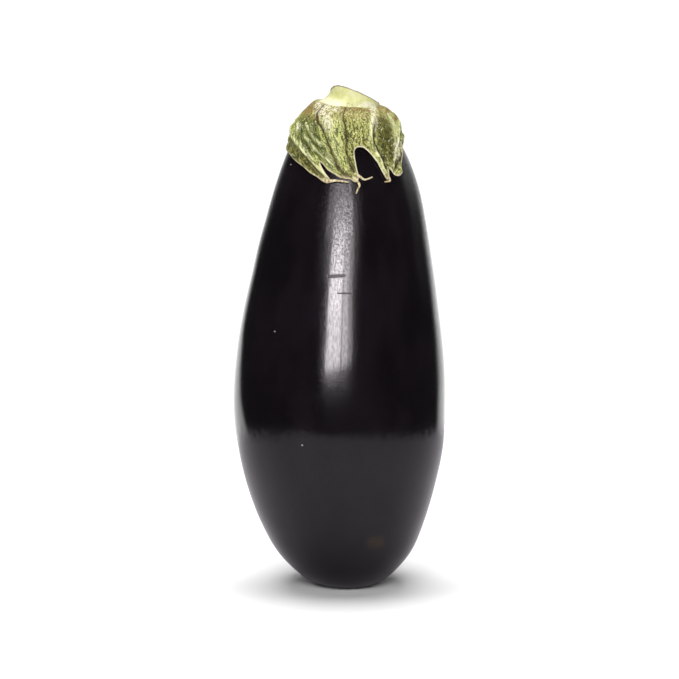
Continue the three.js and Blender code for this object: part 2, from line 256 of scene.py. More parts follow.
# Front softbox: colour, distance in front of the axis, and its parts, each with its left and right edge,
# bottom and top in mm and its share of the full radiance
KEY_COLOUR = (1.0, 0.94, 0.98)
KEY_DISTANCE = 1900
KEY_PANELS = (
    ("key_left", -570, -5, 106, 520, 0.87),
    ("key_upper_left", -590, -5, 520, 695, 1.15),
    ("key_middle", 45, 250, 106, 695, 0.62),
    ("key_right", 250, 430, 106, 695, 0.24),
    ("key_high", -620, 340, 695, 790, 0.76),
    ("key_far_left", -1050, -620, 790, 1300, 0.2),
    ("key_top", -620, 340, 790, 1040, 0.46),
    ("key_topmost", -620, 260, 1040, 1380, 0.3),
)
# Lights that shape the shadows: place, target, width and height in mm
OVERHEAD_LIGHT = ((-60, 150, 1350), (-60, 150, 0), 1150, 1150)
FRONT_FILL = ((-100, -1500, 800), (0, 0, 130), 1100, 900)

# Floor: half side in metres, and the distances in mm between which the camera sees it fade to white
FLOOR_HALF_SIDE = 6.0
FLOOR_FADE = (260.0, 420.0)
# Reflected edge of the floor: width of its soft edge, cell size and height of its ripple in mm
EDGE_SOFTNESS = 125.0
RIPPLE_CELL = 36.0
RIPPLE_HEIGHT = 150.0

# Colours of small marks
SCAR_COLOUR = (0.03, 0.022, 0.02)
SPECK_COLOUR = (0.42, 0.39, 0.37)
SCUFF_COLOUR = (0.022, 0.013, 0.006)
BLOSSOM_SCAR_COLOUR = (0.16, 0.1, 0.05)
PITH_COLOUR = (0.5, 0.42, 0.2)
CUT_STAIN_COLOUR = (0.42, 0.33, 0.16)
# Heights in mm between which the streaks of the skin fade in, its dots set in and its relief grows
STREAK_HEIGHTS = (66.0, 92.0)
DOT_HEIGHTS = (112.0, 150.0)
RELIEF_HEIGHTS = (118.0, 168.0)


def smooth_between(low, high, x):
    """0 below low, 1 above high, and an S-shaped rise between."""
    t = np.clip((x - low) / (high - low), 0, 1)
    return t * t * (3 - 2 * t)


def band(x, start, full_from, full_to, end):
    """0 up to start, 1 from full_from to full_to and 0 from end on, with S-shaped slopes between."""
    return smooth_between(start, full_from, x) * smooth_between(end, full_to, x)


def curve_at(points, where, before=None, after=None):
    """Points on a smooth curve through the given points, at where = span number plus the way along that span.

    Each span is a cubic whose end tangents weigh the neighbouring gaps by the square root of their lengths.
    Points of more than two dimensions give one curve for each row of the middle axis.
    """
    points = np.asarray(points, float)
    before = 2 * points[0] - points[1] if before is None else before
    after = 2 * points[-1] - points[-2] if after is None else after
    p = np.concatenate([[before], points, [after]])
    gap = np.sqrt(np.maximum(np.linalg.norm(np.diff(p, axis=0), axis=-1, keepdims=True), 1e-6))
    span = np.clip(np.floor(where).astype(int), 0, len(points) - 2)
    t = (where - span).reshape((-1,) + (1,) * (points.ndim - 1))
    p0, p1, p2, p3 = (p[span + k] for k in range(4))
    g0, g1, g2 = (gap[span + k] for k in range(3))
    m1 = ((p1 - p0) / g0 - (p2 - p0) / (g0 + g1) + (p2 - p1) / g1) * g1
    m2 = ((p2 - p1) / g1 - (p3 - p1) / (g1 + g2) + (p3 - p2) / g2) * g1
    start = 2 * t**3 - 3 * t**2 + 1
    return start * p1 + (t**3 - 2 * t**2 + t) * m1 + (1 - start) * p2 + (t**3 - t**2) * m2


def running_length(points):
    """Length along a row of points, from its first point."""
    return np.concatenate([[0], np.cumsum(np.linalg.norm(np.diff(points, axis=0), axis=-1))])


OUTLINE_CURVE = curve_at(FRUIT_OUTLINE, np.linspace(0, len(FRUIT_OUTLINE) - 1, 1601))
OUTLINE_ARC = running_length(OUTLINE_CURVE[:, :2])
OUTLINE_SLOPE = np.gradient(OUTLINE_CURVE[:, :2], OUTLINE_ARC, axis=0)
OUTLINE_SLOPE /= np.linalg.norm(OUTLINE_SLOPE, axis=1, keepdims=True)


def above_skin(turn, arc, height):
    """Point above the skin.

    It is the outline point at that arc length, turned about the leaning axis and moved along its normal.
    """
    radius, level, lean = (np.interp(arc, OUTLINE_ARC, OUTLINE_CURVE[:, k]) for k in range(3))
    slope_out, slope_up = (np.interp(arc, OUTLINE_ARC, OUTLINE_SLOPE[:, k]) for k in range(2))
    reach = radius - slope_up * height
    angle = np.radians(turn)
    x, y = lean + reach * np.sin(angle), -reach * np.cos(angle)
    return np.stack(np.broadcast_arrays(x, y, level + slope_out * height), -1)


def skin_normal(turn, arc):
    """Unit normal of the skin at that turn and arc length."""
    return above_skin(turn, arc, 1.0) - above_skin(turn, arc, 0.0)


def lattice_noise(points, seed):
    """Smooth random values from -1 to 1.

    Random numbers stand on a whole-number lattice that repeats every 32 cells, and a point blends its eight
    nearest ones.
    """
    cells = 32
    table = np.random.default_rng(seed).uniform(-1, 1, (cells, cells, cells))
    cell = np.floor(points).astype(int)
    part = points - cell
    part = part * part * (3 - 2 * part)
    total = np.zeros(points.shape[:-1])
    for corner in np.ndindex(2, 2, 2):
        weight = np.prod(np.where(corner, part, 1 - part), axis=-1)
        i, j, k = np.moveaxis((cell + corner) % cells, -1, 0)
        total += weight * table[i, j, k]
    return total


def layered_noise(points, seed, layers=3):
    """Sum of lattice noise at halving sizes and halving strengths, each layer shifted against the last."""
    shift = 7.3
    return sum(lattice_noise(points * 2**k + shift * k, seed + k) / 2**k for k in range(layers))


def distance_to(line, turn, arc, steps=4):
    """Distance in mm, measured along the skin, from each (turn, arc) to a smooth line.

    The line goes through (turn, arc) points and is cut into short straight steps. A degree of turn counts as
    its length on the calyx, 2 mm outside the skin.
    """
    line = curve_at(line, np.linspace(0, len(line) - 1, steps * (len(line) - 1) + 1))
    degree = np.radians(1) * (np.interp(arc, OUTLINE_ARC, OUTLINE_CURVE[:, 0]) + 2)
    best = np.full(turn.shape, 1e9)
    for (turn0, arc0), (turn1, arc1) in zip(line[:-1], line[1:]):
        run, rise = (turn1 - turn0) * degree, arc1 - arc0
        x, y = (turn - turn0) * degree, arc - arc0
        f = np.clip((x * run + y * rise) / (run**2 + rise**2 + 1e-9), 0, 1)
        best = np.minimum(best, np.hypot(x - f * run, y - f * rise))
    return best


def bump(distance, width):
    """1 on a line, falling smoothly to 0 a few widths away."""
    return np.exp(-((distance / width) ** 2))


def shell_faces(rows, columns, first):
    """Faces of a closed shell of ring rows with a pole point before the first ring and one after the last.

    The vertices are the start pole, the rings in order and the end pole, numbered from first.
    """
    ring = first + 1 + np.arange(rows * columns).reshape(rows, columns)
    turned = np.roll(ring, -1, axis=1)
    quads = np.stack([ring[:-1], ring[1:], turned[1:], turned[:-1]], -1).reshape(-1, 4)
    start = np.stack([np.full(columns, first), ring[0], turned[0]], -1)
    end = np.stack([np.full(columns, first + 1 + rows * columns), turned[-1], ring[-1]], -1)
    return quads.tolist() + start.tolist() + end.tolist()


def piece_from_shells(name, shells, node, material):
    """Mesh object placed in the frame, made of closed shells.

    Each shell is its rings, its start pole, its end pole and its attributes by ring point.
    """
    points, faces = [], []
    values = {}
    first = 0
    for rings, start, end, attributes in shells:
        rows, columns = rings.shape[:2]
        faces += shell_faces(rows, columns, first)
        points += [start[None], rings.reshape(-1, 3), end[None]]
        for key, value in attributes.items():
            value = np.broadcast_to(value, rings.shape[:2] + np.shape(value)[2:])
            flat = value.reshape((rows * columns,) + value.shape[2:])
            values.setdefault(key, []).extend([flat[:1], flat, flat[-1:]])
        first += 2 + rows * columns
    mesh = bpy.data.meshes.new(name)
    mesh.from_pydata((np.concatenate(points) * MM).tolist(), [], faces)
    for key, parts in values.items():
        data = np.concatenate(parts).astype(np.float32)
        kind = "FLOAT_VECTOR" if data.ndim == 2 else "FLOAT"
        layer = mesh.attributes.new(key, kind, "POINT")
        layer.data.foreach_set("vector" if data.ndim == 2 else "value", data.ravel())
    mesh.polygons.foreach_set("use_smooth", np.ones(len(mesh.polygons), bool))
    mesh.update()
    mesh.materials.append(material)
    made = bpy.data.objects.new(name, mesh)
    bpy.context.scene.collection.objects.link(made)
    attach(made, BODY)
    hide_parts(node)
    return made


def add(tree, kind, inputs=None, **settings):
    """New node with its settings, its inputs linked to sockets or set to values."""
    made = tree.nodes.new(kind)
    for key, value in settings.items():
        setattr(made, key, value)
    for key, value in (inputs or {}).items():
        if isinstance(value, bpy.types.NodeSocket):
            tree.links.new(value, made.inputs[key])
        else:
            made.inputs[key].default_value = value
    return made


def calc(tree, operation, a, b=0.0, c=0.0, clamp=False):
    """Result of a Math node on up to three values."""
    inputs = {0: a, 1: b, 2: c}
    return add(tree, "ShaderNodeMath", inputs, operation=operation, use_clamp=clamp).outputs[0]


def rise(tree, value, low, high, to_low=0.0, to_high=1.0):
    """Value eased from to_low to to_high as it goes from low to high."""
    inputs = {"Value": value, "From Min": low, "From Max": high, "To Min": to_low, "To Max": to_high}
    return add(tree, "ShaderNodeMapRange", inputs, interpolation_type="SMOOTHSTEP").outputs["Result"]


def blended(tree, factor, a, b):
    """Colour a turned into colour b by factor."""
    made = add(tree, "ShaderNodeMix", {0: factor}, data_type="RGBA")
    for slot, value in ((made.inputs[6], a), (made.inputs[7], b)):
        if isinstance(value, bpy.types.NodeSocket):
            tree.links.new(value, slot)
        else:
            slot.default_value = (*value[:3], 1.0)
    return made.outputs[2]


def attribute(tree, name, vector=False):
    """A mask or a vector that the mesh carries."""
    return add(tree, "ShaderNodeAttribute", attribute_name=name).outputs["Vector" if vector else "Fac"]


def millimetres(tree):
    """Object coordinates counted in mm."""
    place = add(tree, "ShaderNodeTexCoord").outputs["Object"]
    return add(tree, "ShaderNodeVectorMath", {0: place, "Scale": 1 / MM}, operation="SCALE").outputs[0]


def new_group(name, inputs, outputs):
    """Node group with float inputs (name, default), a vector input and named float outputs."""
    group = bpy.data.node_groups.new(name, "ShaderNodeTree")
    group.interface.new_socket("Vector", in_out="INPUT", socket_type="NodeSocketVector")
    for label, default in inputs:
        socket = group.interface.new_socket(label, in_out="INPUT", socket_type="NodeSocketFloat")
        socket.default_value = default
    for label in outputs:
        group.interface.new_socket(label, in_out="OUTPUT", socket_type="NodeSocketFloat")
    return group, group.nodes.new("NodeGroupInput").outputs, group.nodes.new("NodeGroupOutput").inputs


def grain_group():
    """Noise drawn out along the local Z axis: Across and Along are the sizes of its cells in mm."""
    name = "Drawn-out grain"
    if name in bpy.data.node_groups:
        return bpy.data.node_groups[name]
    group, given, result = new_group(name, [("Across", 1.0), ("Along", 3.0), ("Detail", 2.0)], ["Value"])
    across = calc(group, "DIVIDE", 1.0, given["Across"])
    along = calc(group, "DIVIDE", 1.0, given["Along"])
    scale = add(group, "ShaderNodeCombineXYZ", {"X": across, "Y": across, "Z": along}).outputs[0]
    factors = {0: given["Vector"], 1: scale}
    place = add(group, "ShaderNodeVectorMath", factors, operation="MULTIPLY").outputs[0]
    noise = add(group, "ShaderNodeTexNoise", {"Vector": place, "Scale": 1.0, "Detail": given["Detail"]})
    group.links.new(noise.outputs["Fac"], result["Value"])
    return group


def speckle_group():
    """Separate round specks.

    Size is the spacing of the cells in mm, Share how much of each cell a speck fills, Soft its soft edge.
    """
    name = "Specks"
    if name in bpy.data.node_groups:
        return bpy.data.node_groups[name]
    group, given, result = new_group(name, [("Size", 1.0), ("Share", 0.3), ("Soft", 0.15)], ["Mask"])
    scale = calc(group, "DIVIDE", 1.0, given["Size"])
    cells = add(group, "ShaderNodeTexVoronoi", {"Vector": given["Vector"], "Scale": scale, "Randomness": 1.0})
    edge = calc(group, "ADD", given["Share"], given["Soft"])
    mask = rise(group, cells.outputs["Distance"], given["Share"], edge, 1.0, 0.0)
    group.links.new(mask, result["Mask"])
    return group


def mark_group():
    """Soft-edged mark on the front: a short bar or spot at X, Z.

    Half length and Half width are in mm, Tilt is its rise per mm to the right. The mark fades as the fourth
    power of the way along it and the square of the way across it add up.
    """
    name = "Short mark"
    if name in bpy.data.node_groups:
        return bpy.data.node_groups[name]
    inputs = [("X", 0.0), ("Z", 0.0), ("Half length", 4.0), ("Half width", 0.5), ("Tilt", 0.0)]
    group, given, result = new_group(name, inputs, ["Mask"])
    parts = add(group, "ShaderNodeSeparateXYZ", {0: given["Vector"]}).outputs
    x = calc(group, "SUBTRACT", parts["X"], given["X"])
    level = calc(group, "SUBTRACT", parts["Z"], given["Z"])
    z = calc(group, "SUBTRACT", level, calc(group, "MULTIPLY", x, given["Tilt"]))
    along = calc(group, "DIVIDE", x, given["Half length"])
    across = calc(group, "DIVIDE", z, given["Half width"])
    squares = calc(group, "ADD", calc(group, "POWER", calc(group, "ABSOLUTE", along), 4.0),
                   calc(group, "MULTIPLY", across, across))
    spot = rise(group, squares, 0.2, 1.0, 1.0, 0.0)
    front = calc(group, "LESS_THAN", parts["Y"], 0.0)
    group.links.new(calc(group, "MULTIPLY", spot, front), result["Mask"])
    return group


def grouped(tree, group, vector, output, **values):
    """A node group placed in a material with its own values; underscores in names stand for spaces."""
    made = add(tree, "ShaderNodeGroup", node_tree=group)
    tree.links.new(vector, made.inputs["Vector"])
    for key, value in values.items():
        made.inputs[key.replace("_", " ")].default_value = value
    return made.outputs[output]


def new_material(name):
    """Material whose node tree holds a Principled shader and an output."""
    material = bpy.data.materials.new(name)
    material.use_nodes = True
    tree = material.node_tree
    tree.nodes.clear()
    shader = tree.nodes.new("ShaderNodeBsdfPrincipled")
    output = tree.nodes.new("ShaderNodeOutputMaterial")
    tree.links.new(shader.outputs[0], output.inputs["Surface"])
    return material, tree, shader


def relief(tree, shader, height, distance):
    """Surface relief: height of 0 to 1 over that distance."""
    made = add(tree, "ShaderNodeBump", {"Height": height, "Strength": 1.0, "Distance": distance})
    tree.links.new(made.outputs[0], shader.inputs["Normal"])


def skin_material(settings):
    """Near-black waxy skin with upright streaks, pores, pale specks, two short scars and a brown scuff."""
    material, tree, shader = new_material("waxy skin")
    place = millimetres(tree)
    parts = add(tree, "ShaderNodeSeparateXYZ", {0: place}).outputs
    grain = grain_group()
    marks = mark_group()
    cloud = grouped(tree, grain, place, "Value", Across=14.0, Along=30.0, Detail=3.0)
    streaks = grouped(tree, grain, place, "Value", Across=0.5, Along=3.6, Detail=4.0)
    pores = grouped(tree, grain, place, "Value", Across=0.42, Along=0.7, Detail=2.0)
    scars, other_scar = (
        grouped(tree, marks, place, "Mask", X=x, Z=z, Half_length=length, Half_width=width, Tilt=tilt)
        for x, z, length, width, tilt in SKIN_SCARS)
    scars = calc(tree, "MAXIMUM", scars, other_scar)
    specks = grouped(tree, speckle_group(), place, "Mask", Size=14.0, Share=0.012, Soft=0.01)
    specks = calc(tree, "MULTIPLY", specks, rise(tree, parts["Y"], 0.0, 10.0))
    for x, z, size in SKIN_SPECKS:
        speck = grouped(tree, marks, place, "Mask", X=x, Z=z, Half_length=size, Half_width=size)
        specks = calc(tree, "MAXIMUM", specks, speck)
    x, z, length, width = SKIN_SCUFF
    scuff = grouped(tree, marks, place, "Mask", X=x, Z=z, Half_length=length, Half_width=width)
    scuff = calc(tree, "MULTIPLY", scuff, rise(tree, cloud, 0.3, 0.6, 0.2, 0.7))
    blossom_scar = attribute(tree, "blossom_scar")

    base = blended(tree, rise(tree, cloud, 0.35, 0.7), settings.dark, settings.light)
    base = blended(tree, calc(tree, "MULTIPLY", scars, 0.8), base, SCAR_COLOUR)
    base = blended(tree, calc(tree, "MULTIPLY", specks, 0.8), base, SPECK_COLOUR)
    base = blended(tree, scuff, base, SCUFF_COLOUR)
    base = blended(tree, blossom_scar, base, BLOSSOM_SCAR_COLOUR)
    tree.links.new(base, shader.inputs["Base Color"])

    # pores vary the roughness evenly about its mean, and scars are rougher
    spread = 0.14
    rough = calc(tree, "MULTIPLY_ADD", pores, spread, settings.roughness - spread / 2)
    rough = calc(tree, "ADD", rough, calc(tree, "MULTIPLY", scars, 0.25))
    rough = calc(tree, "ADD", rough, calc(tree, "MULTIPLY", blossom_scar, 0.4))
    tree.links.new(rough, shader.inputs["Roughness"])
    shader.inputs["IOR"].default_value = 1.33
    shader.inputs["Coat IOR"].default_value = 1.38
    shader.inputs["Coat Roughness"].default_value = 0.08

    # the wax is thin along the streaks, thinner on the dots and missing on the scars
    dots = rise(tree, pores, 0.47, 0.58)
    dots = calc(tree, "MULTIPLY", dots, rise(tree, parts["Z"], *DOT_HEIGHTS, 0.1, 1.0))
    thin = rise(tree, streaks, 0.36, 0.6, 1.0 - settings.wax_thin, 0.0)
    thin = calc(tree, "MULTIPLY", thin, rise(tree, parts["Z"], *STREAK_HEIGHTS, 0.3, 1.0))
    wax = calc(tree, "SUBTRACT", 1.0, thin)
    wax = calc(tree, "SUBTRACT", wax, calc(tree, "MULTIPLY", dots, 0.75), clamp=True)
    wax = calc(tree, "MULTIPLY", wax, calc(tree, "SUBTRACT", 1.0, scars))
    tree.links.new(wax, shader.inputs["Coat Weight"])

    height = calc(tree, "MULTIPLY_ADD", streaks, 0.8, pores)
    height = calc(tree, "SUBTRACT", height, calc(tree, "MULTIPLY", scars, 2.0))
    height = calc(tree, "MULTIPLY", height, rise(tree, parts["Z"], *RELIEF_HEIGHTS, 1.0, 2.2))
    height = calc(tree, "MULTIPLY", height, rise(tree, parts["Z"], *STREAK_HEIGHTS, 0.4, 1.0))
    relief(tree, shader, height, settings.relief)
    return material


def calyx_material(settings):
    """Mottled green with pale margins, pale ribs partly painted glints, painted shade in the valleys and
    bands, cream partly painted highlight, brown flecks and dry tan tips.
    """
    material, tree, shader = new_material("mottled calyx")
    place = millimetres(tree)
    flow = attribute(tree, "flow", vector=True)
    grain = grain_group()
    broad = grouped(tree, grain, flow, "Value", Across=3.4, Along=6.0, Detail=3.0)
    mottle = grouped(tree, grain, flow, "Value", Across=0.66, Along=1.7, Detail=4.0)
    dashes = grouped(tree, grain, flow, "Value", Across=0.75, Along=2.8, Detail=2.0)
    fine = grouped(tree, grain, place, "Value", Across=0.42, Along=0.42, Detail=3.0)
    curls = grouped(tree, grain, place, "Value", Across=0.85, Along=0.85, Detail=3.0)
    specks = grouped(tree, speckle_group(), place, "Mask", Size=1.25, Share=0.17, Soft=0.2)
    patch = calc(tree, "MULTIPLY_ADD", mottle, 0.6, calc(tree, "MULTIPLY", fine, 0.4))

    def where(mask, factor):
        """A mask of the mesh, broken up by a factor."""
        return calc(tree, "MULTIPLY", attribute(tree, mask), factor)

    # mottling: light on green, and in the bands of painted shade green on dark green
    lit = rise(tree, patch, 0.465, 0.53)
    plain = blended(tree, attribute(tree, "olive"), settings.mid, settings.olive)
    body = blended(tree, rise(tree, broad, 0.4, 0.62, 0.0, 0.6), plain, settings.deep)
    green = blended(tree, lit, body, settings.light)
    dark = blended(tree, lit, settings.deep, plain)
    base = blended(tree, where("shade", rise(tree, broad, 0.3, 0.6, 0.9, 1.0)), green, dark)
    dots = calc(tree, "MULTIPLY", specks, rise(tree, broad, 0.35, 0.6, 0.75, 0.35))
    base = blended(tree, dots, base, settings.pale)
    base = blended(tree, rise(tree, fine, 0.38, 0.46, 0.75, 0.0), base, settings.deep)

    # lines and patches, from the lowest to the topmost
    tan = blended(tree, rise(tree, patch, 0.4, 0.56), settings.fleck, settings.margin)
    layers = (
        # the pale ribs in dashes: partly paler ribs, partly painted glints
        (where("ridge", rise(tree, dashes, 0.42, 0.58, 0.1, 1.0)), settings.pale),
        (where("fleck", rise(tree, curls, 0.43, 0.53, 0.1, 1.0)), settings.fleck),
        # the colour of the painted valley shade, here used for the dark spots in the flecks
        (where("fleck", rise(tree, fine, 0.5, 0.6, 0.0, 0.8)), settings.crease_shade),
        # cream beside the stem, partly a painted highlight
        (where("cream_and_highlight", rise(tree, curls, 0.44, 0.56, 0.95, 0.1)), settings.cream_and_highlight),
        # painted shade: the dark core of each valley and the shadow under the fold
        (where("crease_shade", rise(tree, mottle, 0.4, 0.62, 1.0, 0.74)), settings.crease_shade),
        (where("edge", rise(tree, mottle, 0.3, 0.5, 0.6, 0.95)), settings.margin),
        (attribute(tree, "dry"), tan),
    )
    for mask, colour in layers:
        base = blended(tree, mask, base, colour)
    tree.links.new(base, shader.inputs["Base Color"])
    tree.links.new(rise(tree, patch, 0.3, 0.7, 0.65, 0.4), shader.inputs["Roughness"])
    shader.inputs["Specular IOR Level"].default_value = 0.22
    height = calc(tree, "MULTIPLY_ADD", mottle, 0.8, calc(tree, "MULTIPLY", fine, 0.45))
    relief(tree, shader, height, settings.relief)
    return material


def stem_material(settings):
    """Pale yellow-green shaft with faint fibres, a thin brown line round the cut and a paler cut face."""
    material, tree, shader = new_material("cut stem")
    place = millimetres(tree)
    grain = grain_group()
    fibres = grouped(tree, grain, place, "Value", Across=0.5, Along=5.0, Detail=3.0)
    cloud = grouped(tree, grain, place, "Value", Across=3.0, Along=4.0, Detail=2.0)
    fine = grouped(tree, grain, place, "Value", Across=0.4, Along=0.4, Detail=2.0)
    base = blended(tree, rise(tree, cloud, 0.35, 0.65), settings.green, settings.pale)
    base = blended(tree, rise(tree, fibres, 0.5, 0.75, 0.0, 0.45), base, settings.green)
    spotted = blended(tree, rise(tree, fine, 0.4, 0.56), settings.foot_dark, settings.foot)
    spotted = blended(tree, rise(tree, cloud, 0.45, 0.6, 0.0, 0.9), spotted, settings.pale)
    foot = calc(tree, "MULTIPLY", attribute(tree, "foot"), rise(tree, cloud, 0.35, 0.6, 1.0, 0.5))
    base = blended(tree, foot, base, spotted)
    # cream spots on the foot, partly a painted highlight
    cream_and_highlight_spots = calc(tree, "MULTIPLY", attribute(tree, "cream_and_highlight"), rise(tree, fine, 0.36, 0.5, 0.3, 1.0))
    base = blended(tree, cream_and_highlight_spots, base, settings.cream_and_highlight)
    face = blended(tree, attribute(tree, "pith"), settings.cut, PITH_COLOUR)
    face = blended(tree, rise(tree, fine, 0.4, 0.7, 0.0, 0.4), face, CUT_STAIN_COLOUR)
    base = blended(tree, attribute(tree, "cut"), base, face)
    base = blended(tree, attribute(tree, "rim"), base, settings.rim)
    tree.links.new(base, shader.inputs["Base Color"])
    tree.links.new(rise(tree, fine, 0.3, 0.7, 0.5, 0.65), shader.inputs["Roughness"])
    relief(tree, shader, calc(tree, "MULTIPLY_ADD", fibres, 0.7, fine), settings.relief)
    return material


def make_fruit(settings):
    """Fruit: the outline turned about its leaning axis, with shallow swells, and a flat base.

    A point is at (turn, arc) with a height of layered noise that fades out at the pole and at the base. The
    base is a level disc whose middle is pushed in, where the blossom scar is.
    """
    first_arc, swell_radius, swell_cell = 0.6, 26, 24
    columns, rows = settings.columns, settings.rows
    turn = np.arange(columns) * 360 / columns
    total = OUTLINE_ARC[-1]
    arc = np.linspace(first_arc, total, rows)[:, None]
    angle = np.radians(turn)
    x, y = swell_radius * np.sin(angle), swell_radius * np.cos(angle)
    spot = np.stack(np.broadcast_arrays(x, y, arc), -1) / swell_cell
    fade = smooth_between(0, 12, total - arc) * smooth_between(0, 20, arc)
    height = settings.swell / MM * fade * layered_noise(spot, seed=11, layers=2)
    rings = above_skin(turn, arc, height)
    # base disc inside the resting ring: level, with the blossom scar pushed in at its middle
    base_hollow = settings.base_hollow / MM
    inner = np.linspace(0.9, 0.08, 14)[:, None]
    base_radius = OUTLINE_CURVE[-1, 0] * inner
    hollow = base_hollow * smooth_between(1.0, 0.3, inner)
    x, y = base_radius * np.sin(angle), -base_radius * np.cos(angle)
    disc = np.stack(np.broadcast_arrays(x, y, hollow), -1)
    rings = np.concatenate([rings, disc])
    beyond = np.full((rows, 1), 99.0)
    scar_edge, scar_full = 5.5, 3.0
    wear = smooth_between(scar_edge, scar_full, np.concatenate([beyond, base_radius]))
    scar = wear * (0.75 + 0.25 * lattice_noise(rings / 1.1, seed=5))
    start = above_skin(0, 0, 0)
    end = np.array([0, 0, base_hollow])
    shell = (rings, start, end, {"blossom_scar": np.clip(scar, 0, 1)})
    return piece_from_shells("fruit_skin", [shell], "fruit", skin_material(settings))


def crown_point(direction, radius, drop):
    """Point on the gently sloping top of the calyx."""
    angle = np.radians(direction)
    x, y, drop = np.broadcast_arrays(radius * np.sin(angle), -radius * np.cos(angle), drop)
    return np.stack([x, y, CROWN_HEIGHT - CROWN_FALL * x - drop], -1)


def calyx_margin(columns):
    """Margin columns (direction, turn, arc), evenly spaced along the smooth lobed margin.

    Its length counts a degree of direction as 0.15 mm and a degree of turn as 0.45 mm.
    """
    around = np.array([360, 360, 0])
    before, after = CALYX_MARGIN[-1] - around, CALYX_MARGIN[1] + around
    points = np.concatenate([CALYX_MARGIN, CALYX_MARGIN[:1] + around])
    where = np.linspace(0, len(points) - 1, 40 * len(points))
    dense = curve_at(points, where, before, after)
    length = running_length(dense * np.array([0.15, 0.45, 1.0]))
    even = np.interp(np.arange(columns) * length[-1] / columns, length, where)
    return curve_at(points, even, before, after)


def calyx_height(arc):
    """Height of the calyx above the skin: straight between its listed heights, with rounded corners."""
    spacing, reach = 0.1, 30
    fine_arc = np.arange(10, 50, spacing)
    fine_height = np.interp(fine_arc, *CALYX_HEIGHT.T)
    kernel = bump(np.arange(-reach, reach + 1) * spacing, CALYX_HEIGHT_ROUNDING)
    rounded = np.convolve(np.pad(fine_height, reach, mode="edge"), kernel / kernel.sum(), "valid")
    return np.interp(arc, fine_arc, rounded)


def seen_patches(points, patches):
    """Soft elliptical patches on the front, placed in the plane square to the camera's line of sight.

    A point's place in that plane is turned by the camera's elevation and divided by its share of the
    camera's distance.
    """
    x, y, z = np.moveaxis(points, -1, 0)
    tilt = math.radians(CAMERA_ELEVATION)
    level = (z - CAMERA_TARGET[2]) * math.cos(tilt) + y * math.sin(tilt)
    further = 1 + y / CAMERA_DISTANCE
    mask = np.zeros(x.shape)
    for across, up, half_across, half_up in patches:
        reach = np.hypot((x / further - across) / half_across, (level / further - up) / half_up)
        mask = np.maximum(mask, smooth_between(PATCH_END, PATCH_FULL, reach))
    return mask * smooth_between(PATCH_BEHIND, 0.0, y)


def stripe(turn, middle, width):
    """1 at a turn about the axis, falling smoothly to 0 on both sides."""
    return bump(turn - middle, width)


